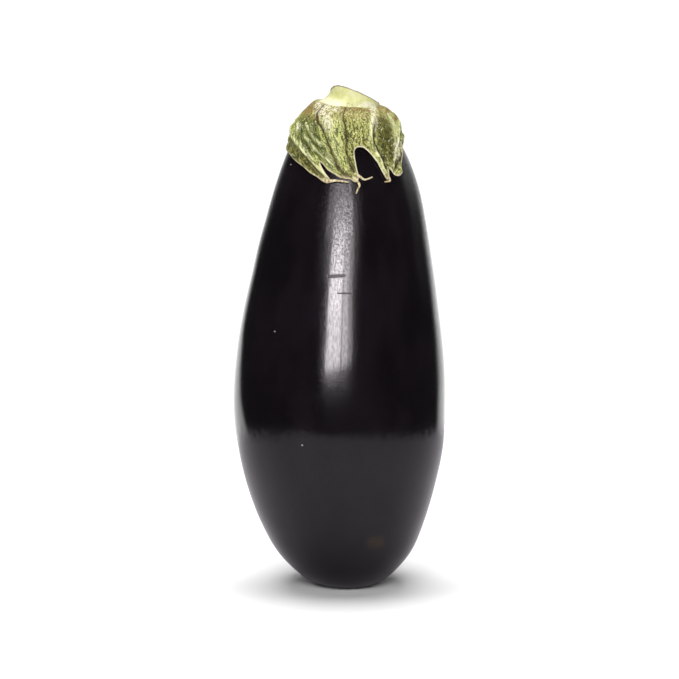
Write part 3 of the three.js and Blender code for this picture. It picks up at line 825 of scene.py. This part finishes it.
def calyx_relief(turn, arc, direction, step, edge):
    """Height changes of the calyx surface and the masks for its colours, some of which paint shade and
    highlights.

    Valleys are narrow and wide hollows along their lines, ribs and the fold are ridges, the left lobe drops
    behind its fold, and layered noise drawn out along the lobes makes the wrinkles.
    """
    around = np.radians(direction)
    flow = np.stack([FLOW_RADIUS * np.cos(around), FLOW_RADIUS * np.sin(around), arc], -1)
    jitter = layered_noise(flow / JITTER_CELL, seed=15, layers=2)

    def ridge_along(distance, size, width):
        """Ridge or hollow of that size and width along a line."""
        return size * bump(distance, width)

    crease_shade = np.zeros(turn.shape)
    hollow = np.zeros(turn.shape)
    core_share, core_edge, core_full = CREASE_CORE
    for line in CREASES:
        distance = distance_to(line, turn + CREASE_JITTER * jitter, arc)
        # valleys widen by half towards the margin
        narrow = distance / (1 + 0.5 * smooth_between(20, 34, arc))
        core = core_share * smooth_between(core_edge, core_full, narrow)
        crease_shade = np.maximum(crease_shade, core + ridge_along(narrow, *CREASE_EDGE))
        hollow = np.maximum(hollow, ridge_along(distance, *VALLEY) + ridge_along(distance, *DIP))
    rib_height, rib_width = RIB
    ridge = np.zeros(turn.shape)
    for line in RIDGES:
        ridge = np.maximum(ridge, bump(distance_to(line, turn, arc), rib_width))

    # the fold of the left lobe: a ridge, a pale line along it, partly painted highlight, a painted shadow
    # under it and a drop behind it
    left_lobe = smooth_between(*LEFT_LOBE, direction)
    fold_distance = distance_to(FOLD, turn, arc)
    fold_line = 0.75 * smooth_between(0.6, 0.25, fold_distance) + 0.25 * bump(fold_distance, 1.1)
    fold_turn, fold_arc = np.array(FOLD).T
    behind = smooth_between(0.4, 1.5, arc - np.interp(turn, fold_turn, fold_arc)) * left_lobe
    fold_shadow = smooth_between(0.5, 0.2, np.abs(fold_distance - 0.95)) * behind

    change = rib_height * ridge + ridge_along(fold_distance, *FOLD_RIDGE) * left_lobe
    change = change - FOLD_DROP * behind - hollow
    for (height, cells), seed, layers in ((WRINKLES, 21, 3), (KNOBS, 31, 2), (LUMPS, 41, 2)):
        change = change + height * layered_noise(flow / np.array(cells), seed, layers)
    # the relief starts low at the shoulder, and the free margin is rounded off
    change = change * (smooth_between(0.0, 0.1, step) * 0.85 + 0.15)
    change = change - EDGE_ROUNDING * smooth_between(0.55, 0.0, edge)

    upper = band(step, *BAND_ROWS)
    left_band = band(direction, *LEFT_BAND)
    right_band = band(direction, *RIGHT_BAND)
    shade = (left_band + right_band) * upper + 0.8 * behind + 0.3 * hollow
    shade = shade + 0.4 * stripe(turn, *MIDDLE_SHADE_STRIPE)
    pale = 0.6 * bump(distance_to(BROAD_RIB, turn, arc), 1.4) + 0.6 * stripe(turn, *PALE_RIM_STRIPE)
    pale = (pale + 0.25 * stripe(turn, *PALE_LEFT_STRIPE)) * upper
    olive = stripe(turn, *OLIVE_STRIPE) * smooth_between(-0.1, 0.1, step) + 0.9 * behind + 0.8 * right_band
    dirt = 0.4 * smooth_between(18.5, 14.5, arc + jitter)
    for fleck_turn, fleck_arc, size in FLECKS:
        away = np.hypot((turn - fleck_turn) * np.radians(1) * FLECK_REACH, arc - fleck_arc)
        dirt = np.maximum(dirt, bump(away, size))
    masks = {
        "crease_shade": np.clip(crease_shade + fold_shadow, 0, 1),
        "ridge": np.clip(0.6 * ridge + fold_line * left_lobe + pale, 0, 1),
        "shade": np.clip(shade, 0, 1),
        "fleck": dirt,
        "edge": smooth_between(0.4, 0.1, edge) * (1 - 0.6 * behind),
        "olive": np.clip(olive, 0, 1),
        "dry": 0.8 * smooth_between(0.9, 1.02, step) * smooth_between(35, 38.5, arc),
        "flow": flow,
    }
    return change, masks


def make_calyx(settings):
    """Calyx: one closed sheet over the shoulder of the fruit, and the dried strands at its tips.

    A column leaves the crown in its own direction and sweeps to its place on the margin; a row is the share
    of that way. Arc length grows evenly with the share, the turn with its 1.2th power. The sheet comes back
    underneath, close to the skin, with its free margin standing off it.
    """
    gap, thickness = settings.gap / MM, settings.thickness / MM
    margin = calyx_margin(settings.columns)
    direction = margin[:, 0]
    step = 1 - (1 - np.linspace(0, 1, settings.rows)[:, None]) ** 1.35
    turn = direction + (margin[:, 1] - direction) * step**SWEEP_POWER
    arc = SHOULDER_ARC + (margin[:, 2] - SHOULDER_ARC) * step
    edge = distance_to(np.concatenate([margin[::3, 1:], margin[:1, 1:] + (360, 0)]), turn, arc, 1)
    across = np.broadcast_to(direction, turn.shape)
    change, masks = calyx_relief(turn, arc, across, np.broadcast_to(step, turn.shape), edge)

    fade = np.clip((RIGHT_FULLNESS_END - arc) / (RIGHT_FULLNESS_END - SHOULDER_ARC), 0, 1)
    base = calyx_height(arc) + RIGHT_FULLNESS * np.sin(np.radians(turn)) * fade
    free = smooth_between(0.72, 1.0, step)
    lift = settings.margin_lift / MM * free * (0.6 + 0.6 * lattice_noise(masks["flow"] / 4.0, seed=51))
    under = np.maximum(gap, (base + lift - thickness) * free)
    least_thickness = 0.3
    height = np.maximum(base + lift + change, under + least_thickness)
    top = above_skin(turn, arc, height)
    side = np.sin(np.radians(direction))
    shoulder_rise = np.where(side < 0, LEFT_SHOULDER_RISE, RIGHT_SHOULDER_RISE) * side**2
    top[..., 2] += shoulder_rise * smooth_between(0.2, 0, step)

    # crown: flat top, rounded rim, then the smooth way down into the first rows, aimed at a row further down
    bend_end = 6
    rim = 0.25 * lattice_noise(crown_point(direction, 1.0, 0.0) * 2.2, seed=61)
    left = smooth_between(0.5, 1.0, -side)
    guides = np.stack([
        crown_point(direction, 8.2, 0.0),
        crown_point(direction, CROWN_RADIUS, -0.7 * left),
        crown_point(direction, CROWN_RIM_RADIUS, CROWN_RIM_DROP + rim - 0.3 * left),
        top[0], top[bend_end],
    ])
    flat = crown_point(direction, np.array([1.5, 5.0, 9.0])[:, None], 0.0)
    bend = curve_at(guides, np.linspace(1, 3, 20)[:-1])

    # free edge rounded between the upper and the lower side, then the lower side back to the pole
    along = np.roll(top[-1], -1, axis=0) - np.roll(top[-1], 1, axis=0)
    outward = np.cross(along, skin_normal(turn[-1], arc[-1]))
    outward /= np.linalg.norm(outward, axis=-1, keepdims=True)
    below = above_skin(turn[-1], arc[-1], under[-1])
    middle = (top[-1] + below) / 2
    half = (top[-1] - below) / 2
    bulge = 0.22
    lip = [middle + half * math.cos(a) + outward * bulge * math.sin(a) for a in np.radians([45, 90, 135])]
    back = np.linspace(len(step) - 1, 0, 22).astype(int)
    lower = above_skin(turn[back], arc[back], under[back])
    inner = above_skin(direction, np.array([11.0, 7.0, 3.0])[:, None], gap)
    rings = np.concatenate([flat, bend, top, np.stack(lip), lower, inner])
    crown_rows, lip_rows, lower_rows = len(flat) + len(bend), len(lip), len(lower) + len(inner)

    def all_rows(mask, crown, lower_value):
        """Mask over every row: values for the crown, the upper side, the rim and the lower side."""
        head = np.broadcast_to(crown, (crown_rows,) + mask.shape[1:])
        edge_rows = np.broadcast_to(mask[-1], (lip_rows,) + mask.shape[1:])
        tail = np.broadcast_to(lower_value, (lower_rows,) + mask.shape[1:])
        return np.concatenate([head, mask, edge_rows, tail])

    flow = masks.pop("flow")
    crown_arc = np.linspace(2, SHOULDER_ARC, crown_rows, endpoint=False)[:, None]
    crown_flow = np.stack(np.broadcast_arrays(flow[:1, :, 0], flow[:1, :, 1], crown_arc), -1)
    attributes = {key: all_rows(mask, mask[0], 0.0) for key, mask in masks.items()}
    attributes["dry"] = all_rows(masks["dry"], 0.0, 0.6)
    attributes["flow"] = all_rows(flow, crown_flow, flow[-1])
    attributes["cream_and_highlight"] = seen_patches(rings, CREAM_AND_HIGHLIGHT_PATCHES)
    attributes["fleck"] = np.maximum(attributes["fleck"], seen_patches(rings, BROWN_PATCHES))
    start = crown_point(0.0, 0.0, 0.0)
    end = above_skin(0.0, 0.0, gap)
    shells = [(rings, start, end, attributes)]
    shells += [strand_shell(width, path, k) for k, (width, path) in enumerate(STRANDS)]
    return piece_from_shells("calyx_lobes", shells, "calyx", calyx_material(settings))


def strand_shell(width, path, number):
    """Dried strand: a flat, slowly twisting oval carried along a path above the skin, tapering to its tip."""
    steps, sides = 56, 14
    tip_width, wavering = 0.24, 0.12
    share = np.linspace(0, 1, steps)
    turn, arc, height = curve_at(path, share * (len(path) - 1)).T
    wobble = lattice_noise(np.stack([share * 5, share * 0 + number, share * 0], -1), seed=71)
    middle = above_skin(turn, arc, height + wavering * wobble)
    along = np.gradient(middle, axis=0)
    along /= np.linalg.norm(along, axis=-1, keepdims=True)
    side = np.cross(skin_normal(turn, arc), along)
    side /= np.linalg.norm(side, axis=-1, keepdims=True)
    up = np.cross(along, side)
    twist = (0.9 * np.sin(share * 5 + number) * share)[:, None]
    half = (width + (tip_width - width) * share**0.8) * (1 + 0.18 * wobble)
    half = half * np.sqrt(np.clip((1.02 - share) / 0.06, 0, 1))
    deep = np.minimum(half, 0.36 - 0.1 * share)
    angle = np.linspace(0, 2 * np.pi, sides, endpoint=False)
    x = half[:, None] * np.sin(angle)
    z = deep[:, None] * np.cos(angle)
    lean_x = x * np.cos(twist) + z * np.sin(twist)
    lean_z = z * np.cos(twist) - x * np.sin(twist)
    rings = middle[:, None] + side[:, None] * lean_x[..., None] + up[:, None] * lean_z[..., None]
    flat = np.zeros((steps, sides))
    dry = np.broadcast_to(0.55 + 0.45 * smooth_between(0, 0.3, share)[:, None], flat.shape)
    attributes = {key: flat for key in ("crease_shade", "ridge", "shade", "fleck", "cream_and_highlight", "olive")}
    attributes.update(dry=dry, edge=flat + 0.3, flow=rings)
    return rings, middle[0], middle[-1], attributes


def stem_point(angle, height):
    """Point on the stem wall: the foot flares by an exponential in the height, and its centre drifts left."""
    flare = STEM_FLARE + STEM_LEFT_FLARE * np.maximum(0, -np.sin(angle)) ** 2
    radius = STEM_RADIUS + flare * np.exp(-height / STEM_FLARE_LENGTH)
    centre = STEM_CENTRE - STEM_SHIFT * np.exp(-height / STEM_SHIFT_LENGTH)
    x = centre + radius * np.sin(angle)
    y = -radius * np.cos(angle)
    return np.stack(np.broadcast_arrays(x, y, CROWN_HEIGHT - CROWN_FALL * x + height), -1)


def cut_height(x, y, angle):
    """Level of the slanting cut, lower at its worn left corner."""
    corner = np.maximum(0, -np.sin(angle)) ** 8
    return CUT_HEIGHT - CUT_FALL * x - CUT_RISE * y - CUT_WORN_CORNER * corner


def make_stem(settings):
    """Stem: a flared wall of fibres up to the slanting cut, a rounded rim and a slightly hollow cut face.

    The wall's height in each direction is stepped towards the cut until it meets it.
    """
    columns = settings.columns
    angle = np.arange(columns) * 2 * np.pi / columns
    height = np.full(columns, 4.0)
    for _ in range(16):
        x, y, z = stem_point(angle, height).T
        height = height + (cut_height(x, y, angle) - z) / 2
    height = np.maximum(height, STEM_LEAST_HEIGHT)
    share = np.linspace(0, 1, STEM_WALL_ROWS)[:, None]
    level = -STEM_SUNK + (height + STEM_SUNK) * share
    wall = stem_point(angle, level)
    circle = STEM_FLOW_RADIUS * np.stack([np.cos(angle), np.sin(angle)], -1)
    around = np.broadcast_to(circle, (STEM_WALL_ROWS, columns, 2))
    spot = np.concatenate([around, level[..., None]], -1)
    fibre_height, fibre_cells = FIBRES
    lump_height, lump_cells = STEM_LUMPS
    fibres = layered_noise(spot / np.array(fibre_cells), seed=81)
    lumps = layered_noise(spot / np.array(lump_cells), seed=91, layers=2)
    push = (fibre_height * fibres + lump_height * lumps) * smooth_between(0, 1, level + STEM_SUNK)
    wall[..., 0] += push * np.sin(angle)
    wall[..., 1] -= push * np.cos(angle)
    # ragged rim over the last rows of the wall
    rim = wall[-1]
    ragged = RAGGED_CUT * lattice_noise(np.concatenate([circle / 1.1, np.zeros((columns, 1))], -1), seed=101)
    wall[-6:, :, 2] += ragged * np.linspace(0, 1, 6)[:, None]

    middle = np.array([STEM_CENTRE, 0.0, cut_height(STEM_CENTRE, 0.0, 0.0)])
    inward = np.array(CUT_RINGS)[:, None]
    face = rim + (middle - rim) * inward[..., None]
    sink = CUT_HOLLOW * smooth_between(0.0, 0.3, inward) * np.ones(columns)
    sink = sink + CUT_ROUGHNESS * layered_noise(face / 1.2, seed=111, layers=2)
    face[..., 2] += CUT_LIP * bump(inward - 0.03, 0.05) - sink * smooth_between(0, 0.1, inward)

    # rows run from the top middle outwards and down the wall to the foot
    rings = np.concatenate([face[::-1], wall[::-1]])

    def face_and_wall(on_face, on_wall):
        """Values over all rows, from values by ring of the face and by row of the wall."""
        parts = ((on_face, len(face)), (on_wall, len(wall)))
        return np.concatenate([np.broadcast_to(value, (rows, columns))[::-1] for value, rows in parts])

    inward_all = face_and_wall(inward, 0.0)
    below_rim = face_and_wall(0.0, height - level)
    above_foot = face_and_wall(9.0, level)
    lumps_all = face_and_wall(0.0, lumps)
    worn = np.maximum(0, -np.sin(angle)) ** 6
    rim_line = smooth_between(0.5 + 0.6 * worn, 0.12 + 0.2 * worn, below_rim)
    attributes = {
        "cut": smooth_between(0.0, 0.04, inward_all),
        "rim": rim_line * smooth_between(0.09, 0.03, inward_all),
        "foot": smooth_between(1.6, 0.3, above_foot + 0.8 * lumps_all),
        "pith": bump(inward_all - PITH_RING, 0.08),
        # cream patches on the foot, partly a painted highlight
        "cream_and_highlight": seen_patches(rings, CREAM_AND_HIGHLIGHT_PATCHES) * smooth_between(2.6, 1.6, above_foot),
    }
    start = middle - np.array([0, 0, CUT_HOLLOW])
    end = crown_point(0.0, 0.0, STEM_SUNK)
    shells = [(rings, start, end, attributes)]
    return piece_from_shells("stem_stub", shells, "stem", stem_material(settings))


def area_light(name, centre, target, width, height, power, colour=(1, 1, 1)):
    """Rectangular soft light at centre, facing target, sizes in mm."""
    data = bpy.data.lights.new(name, "AREA")
    data.shape = "RECTANGLE"
    data.size, data.size_y = width * MM, height * MM
    data.energy = power
    data.color = colour
    light = bpy.data.objects.new(name, data)
    light.location = Vector(centre) * MM
    facing = Vector(target) - Vector(centre)
    light.rotation_euler = facing.to_track_quat("-Z", "Y").to_euler()
    bpy.context.scene.collection.objects.link(light)
    return light


def floor_material(settings):
    """Pale floor that fades out for the camera and ends at a table's edge for reflections.

    The edge's distance is nearer on the left than on the right, and rippled by noise.
    """
    material, tree, shader = new_material("pale floor")
    shader.inputs["Roughness"].default_value = 0.9
    shader.inputs["Specular IOR Level"].default_value = 0.0
    place = millimetres(tree)
    parts = add(tree, "ShaderNodeSeparateXYZ", {0: place}).outputs
    path = add(tree, "ShaderNodeLightPath").outputs
    far = add(tree, "ShaderNodeVectorMath", {0: place}, operation="LENGTH").outputs["Value"]
    # -1 or less on the left and at the back, 0 in front, 1 on the right
    bearing = calc(tree, "SUBTRACT", parts["X"], calc(tree, "MAXIMUM", parts["Y"], 0.0))
    bearing = calc(tree, "DIVIDE", bearing, far)
    uneven = settings.table_uneven / MM
    nearer = rise(tree, bearing, -1.0, -0.6, uneven, -uneven)
    ripple = grouped(tree, grain_group(), place, "Value", Across=RIPPLE_CELL, Along=RIPPLE_CELL, Detail=2.0)
    reach = calc(tree, "ADD", calc(tree, "MULTIPLY_ADD", ripple, RIPPLE_HEIGHT, far), nearer)
    edge_start = settings.table_edge / MM + 15.0
    beyond = rise(tree, reach, edge_start, edge_start + EDGE_SOFTNESS)
    faded = calc(tree, "MULTIPLY", rise(tree, far, *FLOOR_FADE), path["Is Camera Ray"])
    hidden = calc(tree, "MAXIMUM", calc(tree, "MULTIPLY", beyond, path["Is Glossy Ray"]), faded)
    clear = add(tree, "ShaderNodeBsdfTransparent").outputs[0]
    seen = blended(tree, path["Is Glossy Ray"], settings.floor_colour, settings.reflected_floor)
    tree.links.new(seen, shader.inputs["Base Color"])
    mixed = add(tree, "ShaderNodeMixShader", {0: hidden})
    tree.links.new(shader.outputs[0], mixed.inputs[1])
    tree.links.new(clear, mixed.inputs[2])
    output = next(n for n in tree.nodes if n.type == "OUTPUT_MATERIAL")
    tree.links.new(mixed.outputs[0], output.inputs["Surface"])
    return material


def make_world(settings):
    """White to the camera; to other rays white behind the object, grey high on the right and dark in front.

    The white begins where the Y of a ray's direction is large enough. A lean to the right and below the
    horizon counts towards it, and above the horizon the white is weaker, most of all on the left.
    """
    world = bpy.data.worlds.new("studio")
    bpy.context.scene.world = world
    world.use_nodes = True
    tree = world.node_tree
    tree.nodes.clear()
    way = add(tree, "ShaderNodeTexCoord").outputs["Generated"]
    parts = add(tree, "ShaderNodeSeparateXYZ", {0: way}).outputs
    leaning = calc(tree, "MULTIPLY_ADD", calc(tree, "MAXIMUM", parts["X"], 0.0), 0.13, parts["Y"])
    below = calc(tree, "MAXIMUM", calc(tree, "SUBTRACT", -0.05, parts["Z"]), 0.0)
    below = calc(tree, "MULTIPLY", below, rise(tree, parts["X"], -0.3, 0.3, 1.6, 0.6))
    leaning = calc(tree, "ADD", leaning, below)
    behind = rise(tree, leaning, 0.81, 0.95, 0.0, settings.white_wall)
    weaker = rise(tree, parts["X"], -0.1, 0.1, 0.6, 0.3)
    weaker = calc(tree, "MULTIPLY", rise(tree, parts["Z"], -0.1, -0.03), weaker)
    behind = calc(tree, "MULTIPLY", behind, calc(tree, "SUBTRACT", 1.0, weaker))
    right = calc(tree, "MULTIPLY", rise(tree, parts["X"], 0.3, 0.5), rise(tree, parts["Z"], -0.05, 0.25))
    right = calc(tree, "MULTIPLY", right, rise(tree, parts["Y"], 0.25, 0.5, 0.0, settings.right_wall))
    room = calc(tree, "MAXIMUM", calc(tree, "MAXIMUM", behind, right), settings.dark_room)
    seen = add(tree, "ShaderNodeLightPath").outputs["Is Camera Ray"]
    level = add(tree, "ShaderNodeMix", {0: seen, 2: room, 3: settings.backdrop}, data_type="FLOAT")
    glow = add(tree, "ShaderNodeBackground", {"Color": (1, 1, 1, 1), "Strength": level.outputs[0]})
    output = tree.nodes.new("ShaderNodeOutputWorld")
    tree.links.new(glow.outputs[0], output.inputs["Surface"])


def make_stage(settings):
    """Floor, lights, surroundings and the camera at the photograph's angle."""
    side = FLOOR_HALF_SIDE
    mesh = bpy.data.meshes.new("pale_floor")
    corners = [(-side, -side, 0), (side, -side, 0), (side, side, 0), (-side, side, 0)]
    mesh.from_pydata(corners, [], [(0, 1, 2, 3)])
    mesh.materials.append(floor_material(settings))
    floor = bpy.data.objects.new("pale_floor", mesh)
    bpy.context.scene.collection.objects.link(floor)
    make_world(settings)
    for name, left, right, low, high, share in KEY_PANELS:
        width, height = right - left, high - low
        centre = ((left + right) / 2, -KEY_DISTANCE, (low + high) / 2)
        facing = (centre[0], 0, centre[2])
        power = settings.key_radiance * share * 4 * width * height * MM * MM
        light = area_light(name, centre, facing, width, height, power, KEY_COLOUR)
        light.visible_diffuse = False
    area_light("overhead", *OVERHEAD_LIGHT, settings.overhead_power)
    fill = area_light("front_fill", *FRONT_FILL, settings.fill_power)
    fill.visible_glossy = False

    data = bpy.data.cameras.new("camera")
    data.sensor_width = SENSOR_WIDTH
    data.lens = SENSOR_WIDTH * CAMERA_DISTANCE / CAMERA_FIELD
    data.clip_start = 0.01
    data.clip_end = 100.0
    camera = bpy.data.objects.new("camera", data)
    tilt = math.radians(CAMERA_ELEVATION)
    away = Vector((0, -math.cos(tilt), math.sin(tilt)))
    camera.location = (Vector(CAMERA_TARGET) + away * CAMERA_DISTANCE) * MM
    camera.rotation_euler = (math.pi / 2 - tilt, 0, 0)
    bpy.context.scene.collection.objects.link(camera)
    bpy.context.scene.camera = camera
    bpy.context.scene.view_settings.view_transform = "Standard"


def colour_property(name, description, default):
    """Colour in linear red, green and blue."""
    return bpy.props.FloatVectorProperty(
        name=name, description=description, default=default, subtype="COLOR", size=3, min=0.0, max=1.0)


def size_property(name, description, millimetres_long):
    """Length, kept in metres and given here in mm."""
    return bpy.props.FloatProperty(
        name=name, description=description, default=millimetres_long * MM, min=0.0, precision=5,
        subtype="DISTANCE", unit="LENGTH")


def share_property(name, description, default):
    """Share from 0 to 1."""
    return bpy.props.FloatProperty(
        name=name, description=description, default=default, min=0.0, max=1.0, subtype="FACTOR")


def strength_property(name, description, default):
    """Brightness that may be any positive number."""
    return bpy.props.FloatProperty(name=name, description=description, default=default, min=0.0)


def power_property(name, description, default):
    """Power of a light in watts."""
    return bpy.props.FloatProperty(name=name, description=description, default=default, min=0.0, unit="POWER")


def count_property(name, description, default, least):
    """Number of points or rings."""
    return bpy.props.IntProperty(name=name, description=description, default=default, min=least)


class EggplantSkinSettings(bpy.types.PropertyGroup):
    """Fruit and its skin."""
    dark: colour_property("Dark skin", "Colour of most of the skin", (0.0038, 0.0028, 0.0038))
    light: colour_property("Light skin", "Colour of the faint lighter clouds", (0.0070, 0.0050, 0.0068))
    roughness: share_property("Roughness", "Mean roughness under the wax", 0.12)
    wax_thin: share_property("Thin wax", "Wax left where it is thinnest", 0.55)
    relief: size_property("Relief", "Depth of the pores and streaks", 0.034)
    swell: size_property("Swells", "Height of the broad unevenness", 0.16)
    base_hollow: size_property("Base hollow", "How far the blossom scar is pushed in", 0.4)
    columns: count_property("Columns", "Points round the fruit", 360, 24)
    rows: count_property("Rows", "Rings from top to base", 230, 24)


class EggplantCalyxSettings(bpy.types.PropertyGroup):
    """Calyx and its finish."""
    light: colour_property("Light green", "Lit side of the mottling", (0.50, 0.52, 0.17))
    mid: colour_property("Green", "Body colour", (0.135, 0.155, 0.026))
    olive: colour_property("Olive", "Body colour right of the middle and behind the fold", (0.14, 0.115, 0.02))
    deep: colour_property("Dark green", "Colour between the ribs", (0.026, 0.036, 0.004))
    # pale ribs and specks; on the ribs it is partly painted glints
    pale: colour_property("Pale ribs", "Colour of the ribs and specks", (0.74, 0.74, 0.40))
    # cream beside the stem, partly a painted highlight
    cream_and_highlight: colour_property("Cream", "Colour next to the stem", (0.64, 0.61, 0.46))
    margin: colour_property("Margin", "Colour of the thin margin and the tips", (0.66, 0.60, 0.40))
    # painted shade in the valleys and under the fold, also the dark spots in the flecks
    crease_shade: colour_property("Crease", "Colour in the narrow valleys", (0.04, 0.022, 0.005))
    fleck: colour_property("Fleck", "Colour of the flecks near the crown", (0.27, 0.15, 0.04))
    relief: size_property("Relief", "Depth of the fine relief", 0.5)
    thickness: size_property("Thickness", "Thickness of the free margin", 0.7)
    gap: size_property("Gap", "Gap between sheet and skin", 0.2)
    margin_lift: size_property("Margin lift", "How far the margin stands off", 0.35)
    columns: count_property("Columns", "Points round the margin", 700, 80)
    rows: count_property("Rows", "Rows from crown to margin", 78, 20)


class EggplantStemSettings(bpy.types.PropertyGroup):
    """Stem stub and its finish."""
    green: colour_property("Green", "Greener parts of the shaft", (0.50, 0.51, 0.20))
    pale: colour_property("Pale", "Paler parts of the shaft", (0.60, 0.585, 0.30))
    foot: colour_property("Foot", "Light spots where it joins the calyx", (0.50, 0.52, 0.25))
    foot_dark: colour_property("Dark foot", "Dark spots where it joins the calyx", (0.20, 0.16, 0.05))
    # pale spots on the foot, partly a painted highlight
    cream_and_highlight: colour_property("Cream", "Pale spots on the foot", (0.60, 0.59, 0.42))
    cut: colour_property("Cut face", "Colour of the cut", (0.66, 0.60, 0.34))
    rim: colour_property("Rim", "Dried line round the cut", (0.16, 0.11, 0.05))
    relief: size_property("Relief", "Depth of the fibres", 0.06)
    columns: count_property("Columns", "Points round the stem", 240, 24)


class EggplantStageSettings(bpy.types.PropertyGroup):
    """Floor, lights and surroundings."""
    floor_colour: colour_property("Floor", "Colour of the floor", (0.92, 0.92, 0.92))
    reflected_floor: colour_property("Reflected floor", "Floor colour in reflections", (0.365, 0.345, 0.37))
    table_edge: size_property("Table edge", "Where the floor's reflection ends", 302.0)
    table_uneven: size_property("Uneven edge", "How much nearer that edge is on the left", 38.0)
    backdrop: strength_property("Backdrop", "White seen behind", 1.05)
    dark_room: strength_property("Dark room", "Light from the front", 0.02)
    white_wall: strength_property("White wall", "White behind in reflections", 0.95)
    right_wall: strength_property("Right wall", "Grey on the right", 0.5)
    key_radiance: strength_property("Key", "Radiance of the front softbox", 15.5)
    fill_power: power_property("Front fill", "Power from the front", 22.0)
    overhead_power: power_property("Overhead", "Power from above", 27.0)


class EGGPLANT_OT_fruit(bpy.types.Operator):
    """Make the glossy fruit"""
    bl_idname = "eggplant.fruit"
    bl_label = "Make fruit"

    def execute(self, context):
        make_fruit(context.scene.eggplant_skin)
        return {"FINISHED"}


class EGGPLANT_OT_calyx(bpy.types.Operator):
    """Make the lobed calyx with its dried tips"""
    bl_idname = "eggplant.calyx"
    bl_label = "Make calyx"

    def execute(self, context):
        make_calyx(context.scene.eggplant_calyx)
        return {"FINISHED"}


class EGGPLANT_OT_stem(bpy.types.Operator):
    """Make the cut stem stub"""
    bl_idname = "eggplant.stem"
    bl_label = "Make stem"

    def execute(self, context):
        make_stem(context.scene.eggplant_stem)
        return {"FINISHED"}


class EGGPLANT_OT_stage(bpy.types.Operator):
    """Make the floor, lights, surroundings and camera"""
    bl_idname = "eggplant.stage"
    bl_label = "Make stage"

    def execute(self, context):
        make_stage(context.scene.eggplant_stage)
        return {"FINISHED"}


class EGGPLANT_PT_panel(bpy.types.Panel):
    """Makers and settings of the eggplant"""
    bl_idname = "EGGPLANT_PT_panel"
    bl_label = "Eggplant"
    bl_space_type = "VIEW_3D"
    bl_region_type = "UI"
    bl_category = "Eggplant"

    def draw(self, context):
        for operator, key in (("fruit", "skin"), ("calyx", "calyx"), ("stem", "stem"), ("stage", "stage")):
            box = self.layout.box()
            box.operator(f"eggplant.{operator}")
            settings = getattr(context.scene, f"eggplant_{key}")
            for field in settings.__annotations__:
                box.prop(settings, field)


SETTINGS = {
    "eggplant_skin": EggplantSkinSettings,
    "eggplant_calyx": EggplantCalyxSettings,
    "eggplant_stem": EggplantStemSettings,
    "eggplant_stage": EggplantStageSettings,
}
OPERATORS = (EGGPLANT_OT_fruit, EGGPLANT_OT_calyx, EGGPLANT_OT_stem, EGGPLANT_OT_stage)


def register():
    """Register the settings, the operators and the panel."""
    for kind in (*SETTINGS.values(), *OPERATORS, EGGPLANT_PT_panel):
        bpy.utils.register_class(kind)
    for name, kind in SETTINGS.items():
        setattr(bpy.types.Scene, name, bpy.props.PointerProperty(type=kind))


def unregister():
    """Take away what register has added."""
    for name in SETTINGS:
        delattr(bpy.types.Scene, name)
    for kind in reversed((*SETTINGS.values(), *OPERATORS, EGGPLANT_PT_panel)):
        bpy.utils.unregister_class(kind)


def main():
    """Make every piece and the stage."""
    register()
    bpy.ops.eggplant.fruit()
    bpy.ops.eggplant.calyx()
    bpy.ops.eggplant.stem()
    bpy.ops.eggplant.stage()


if __name__ == "__main__":
    main()
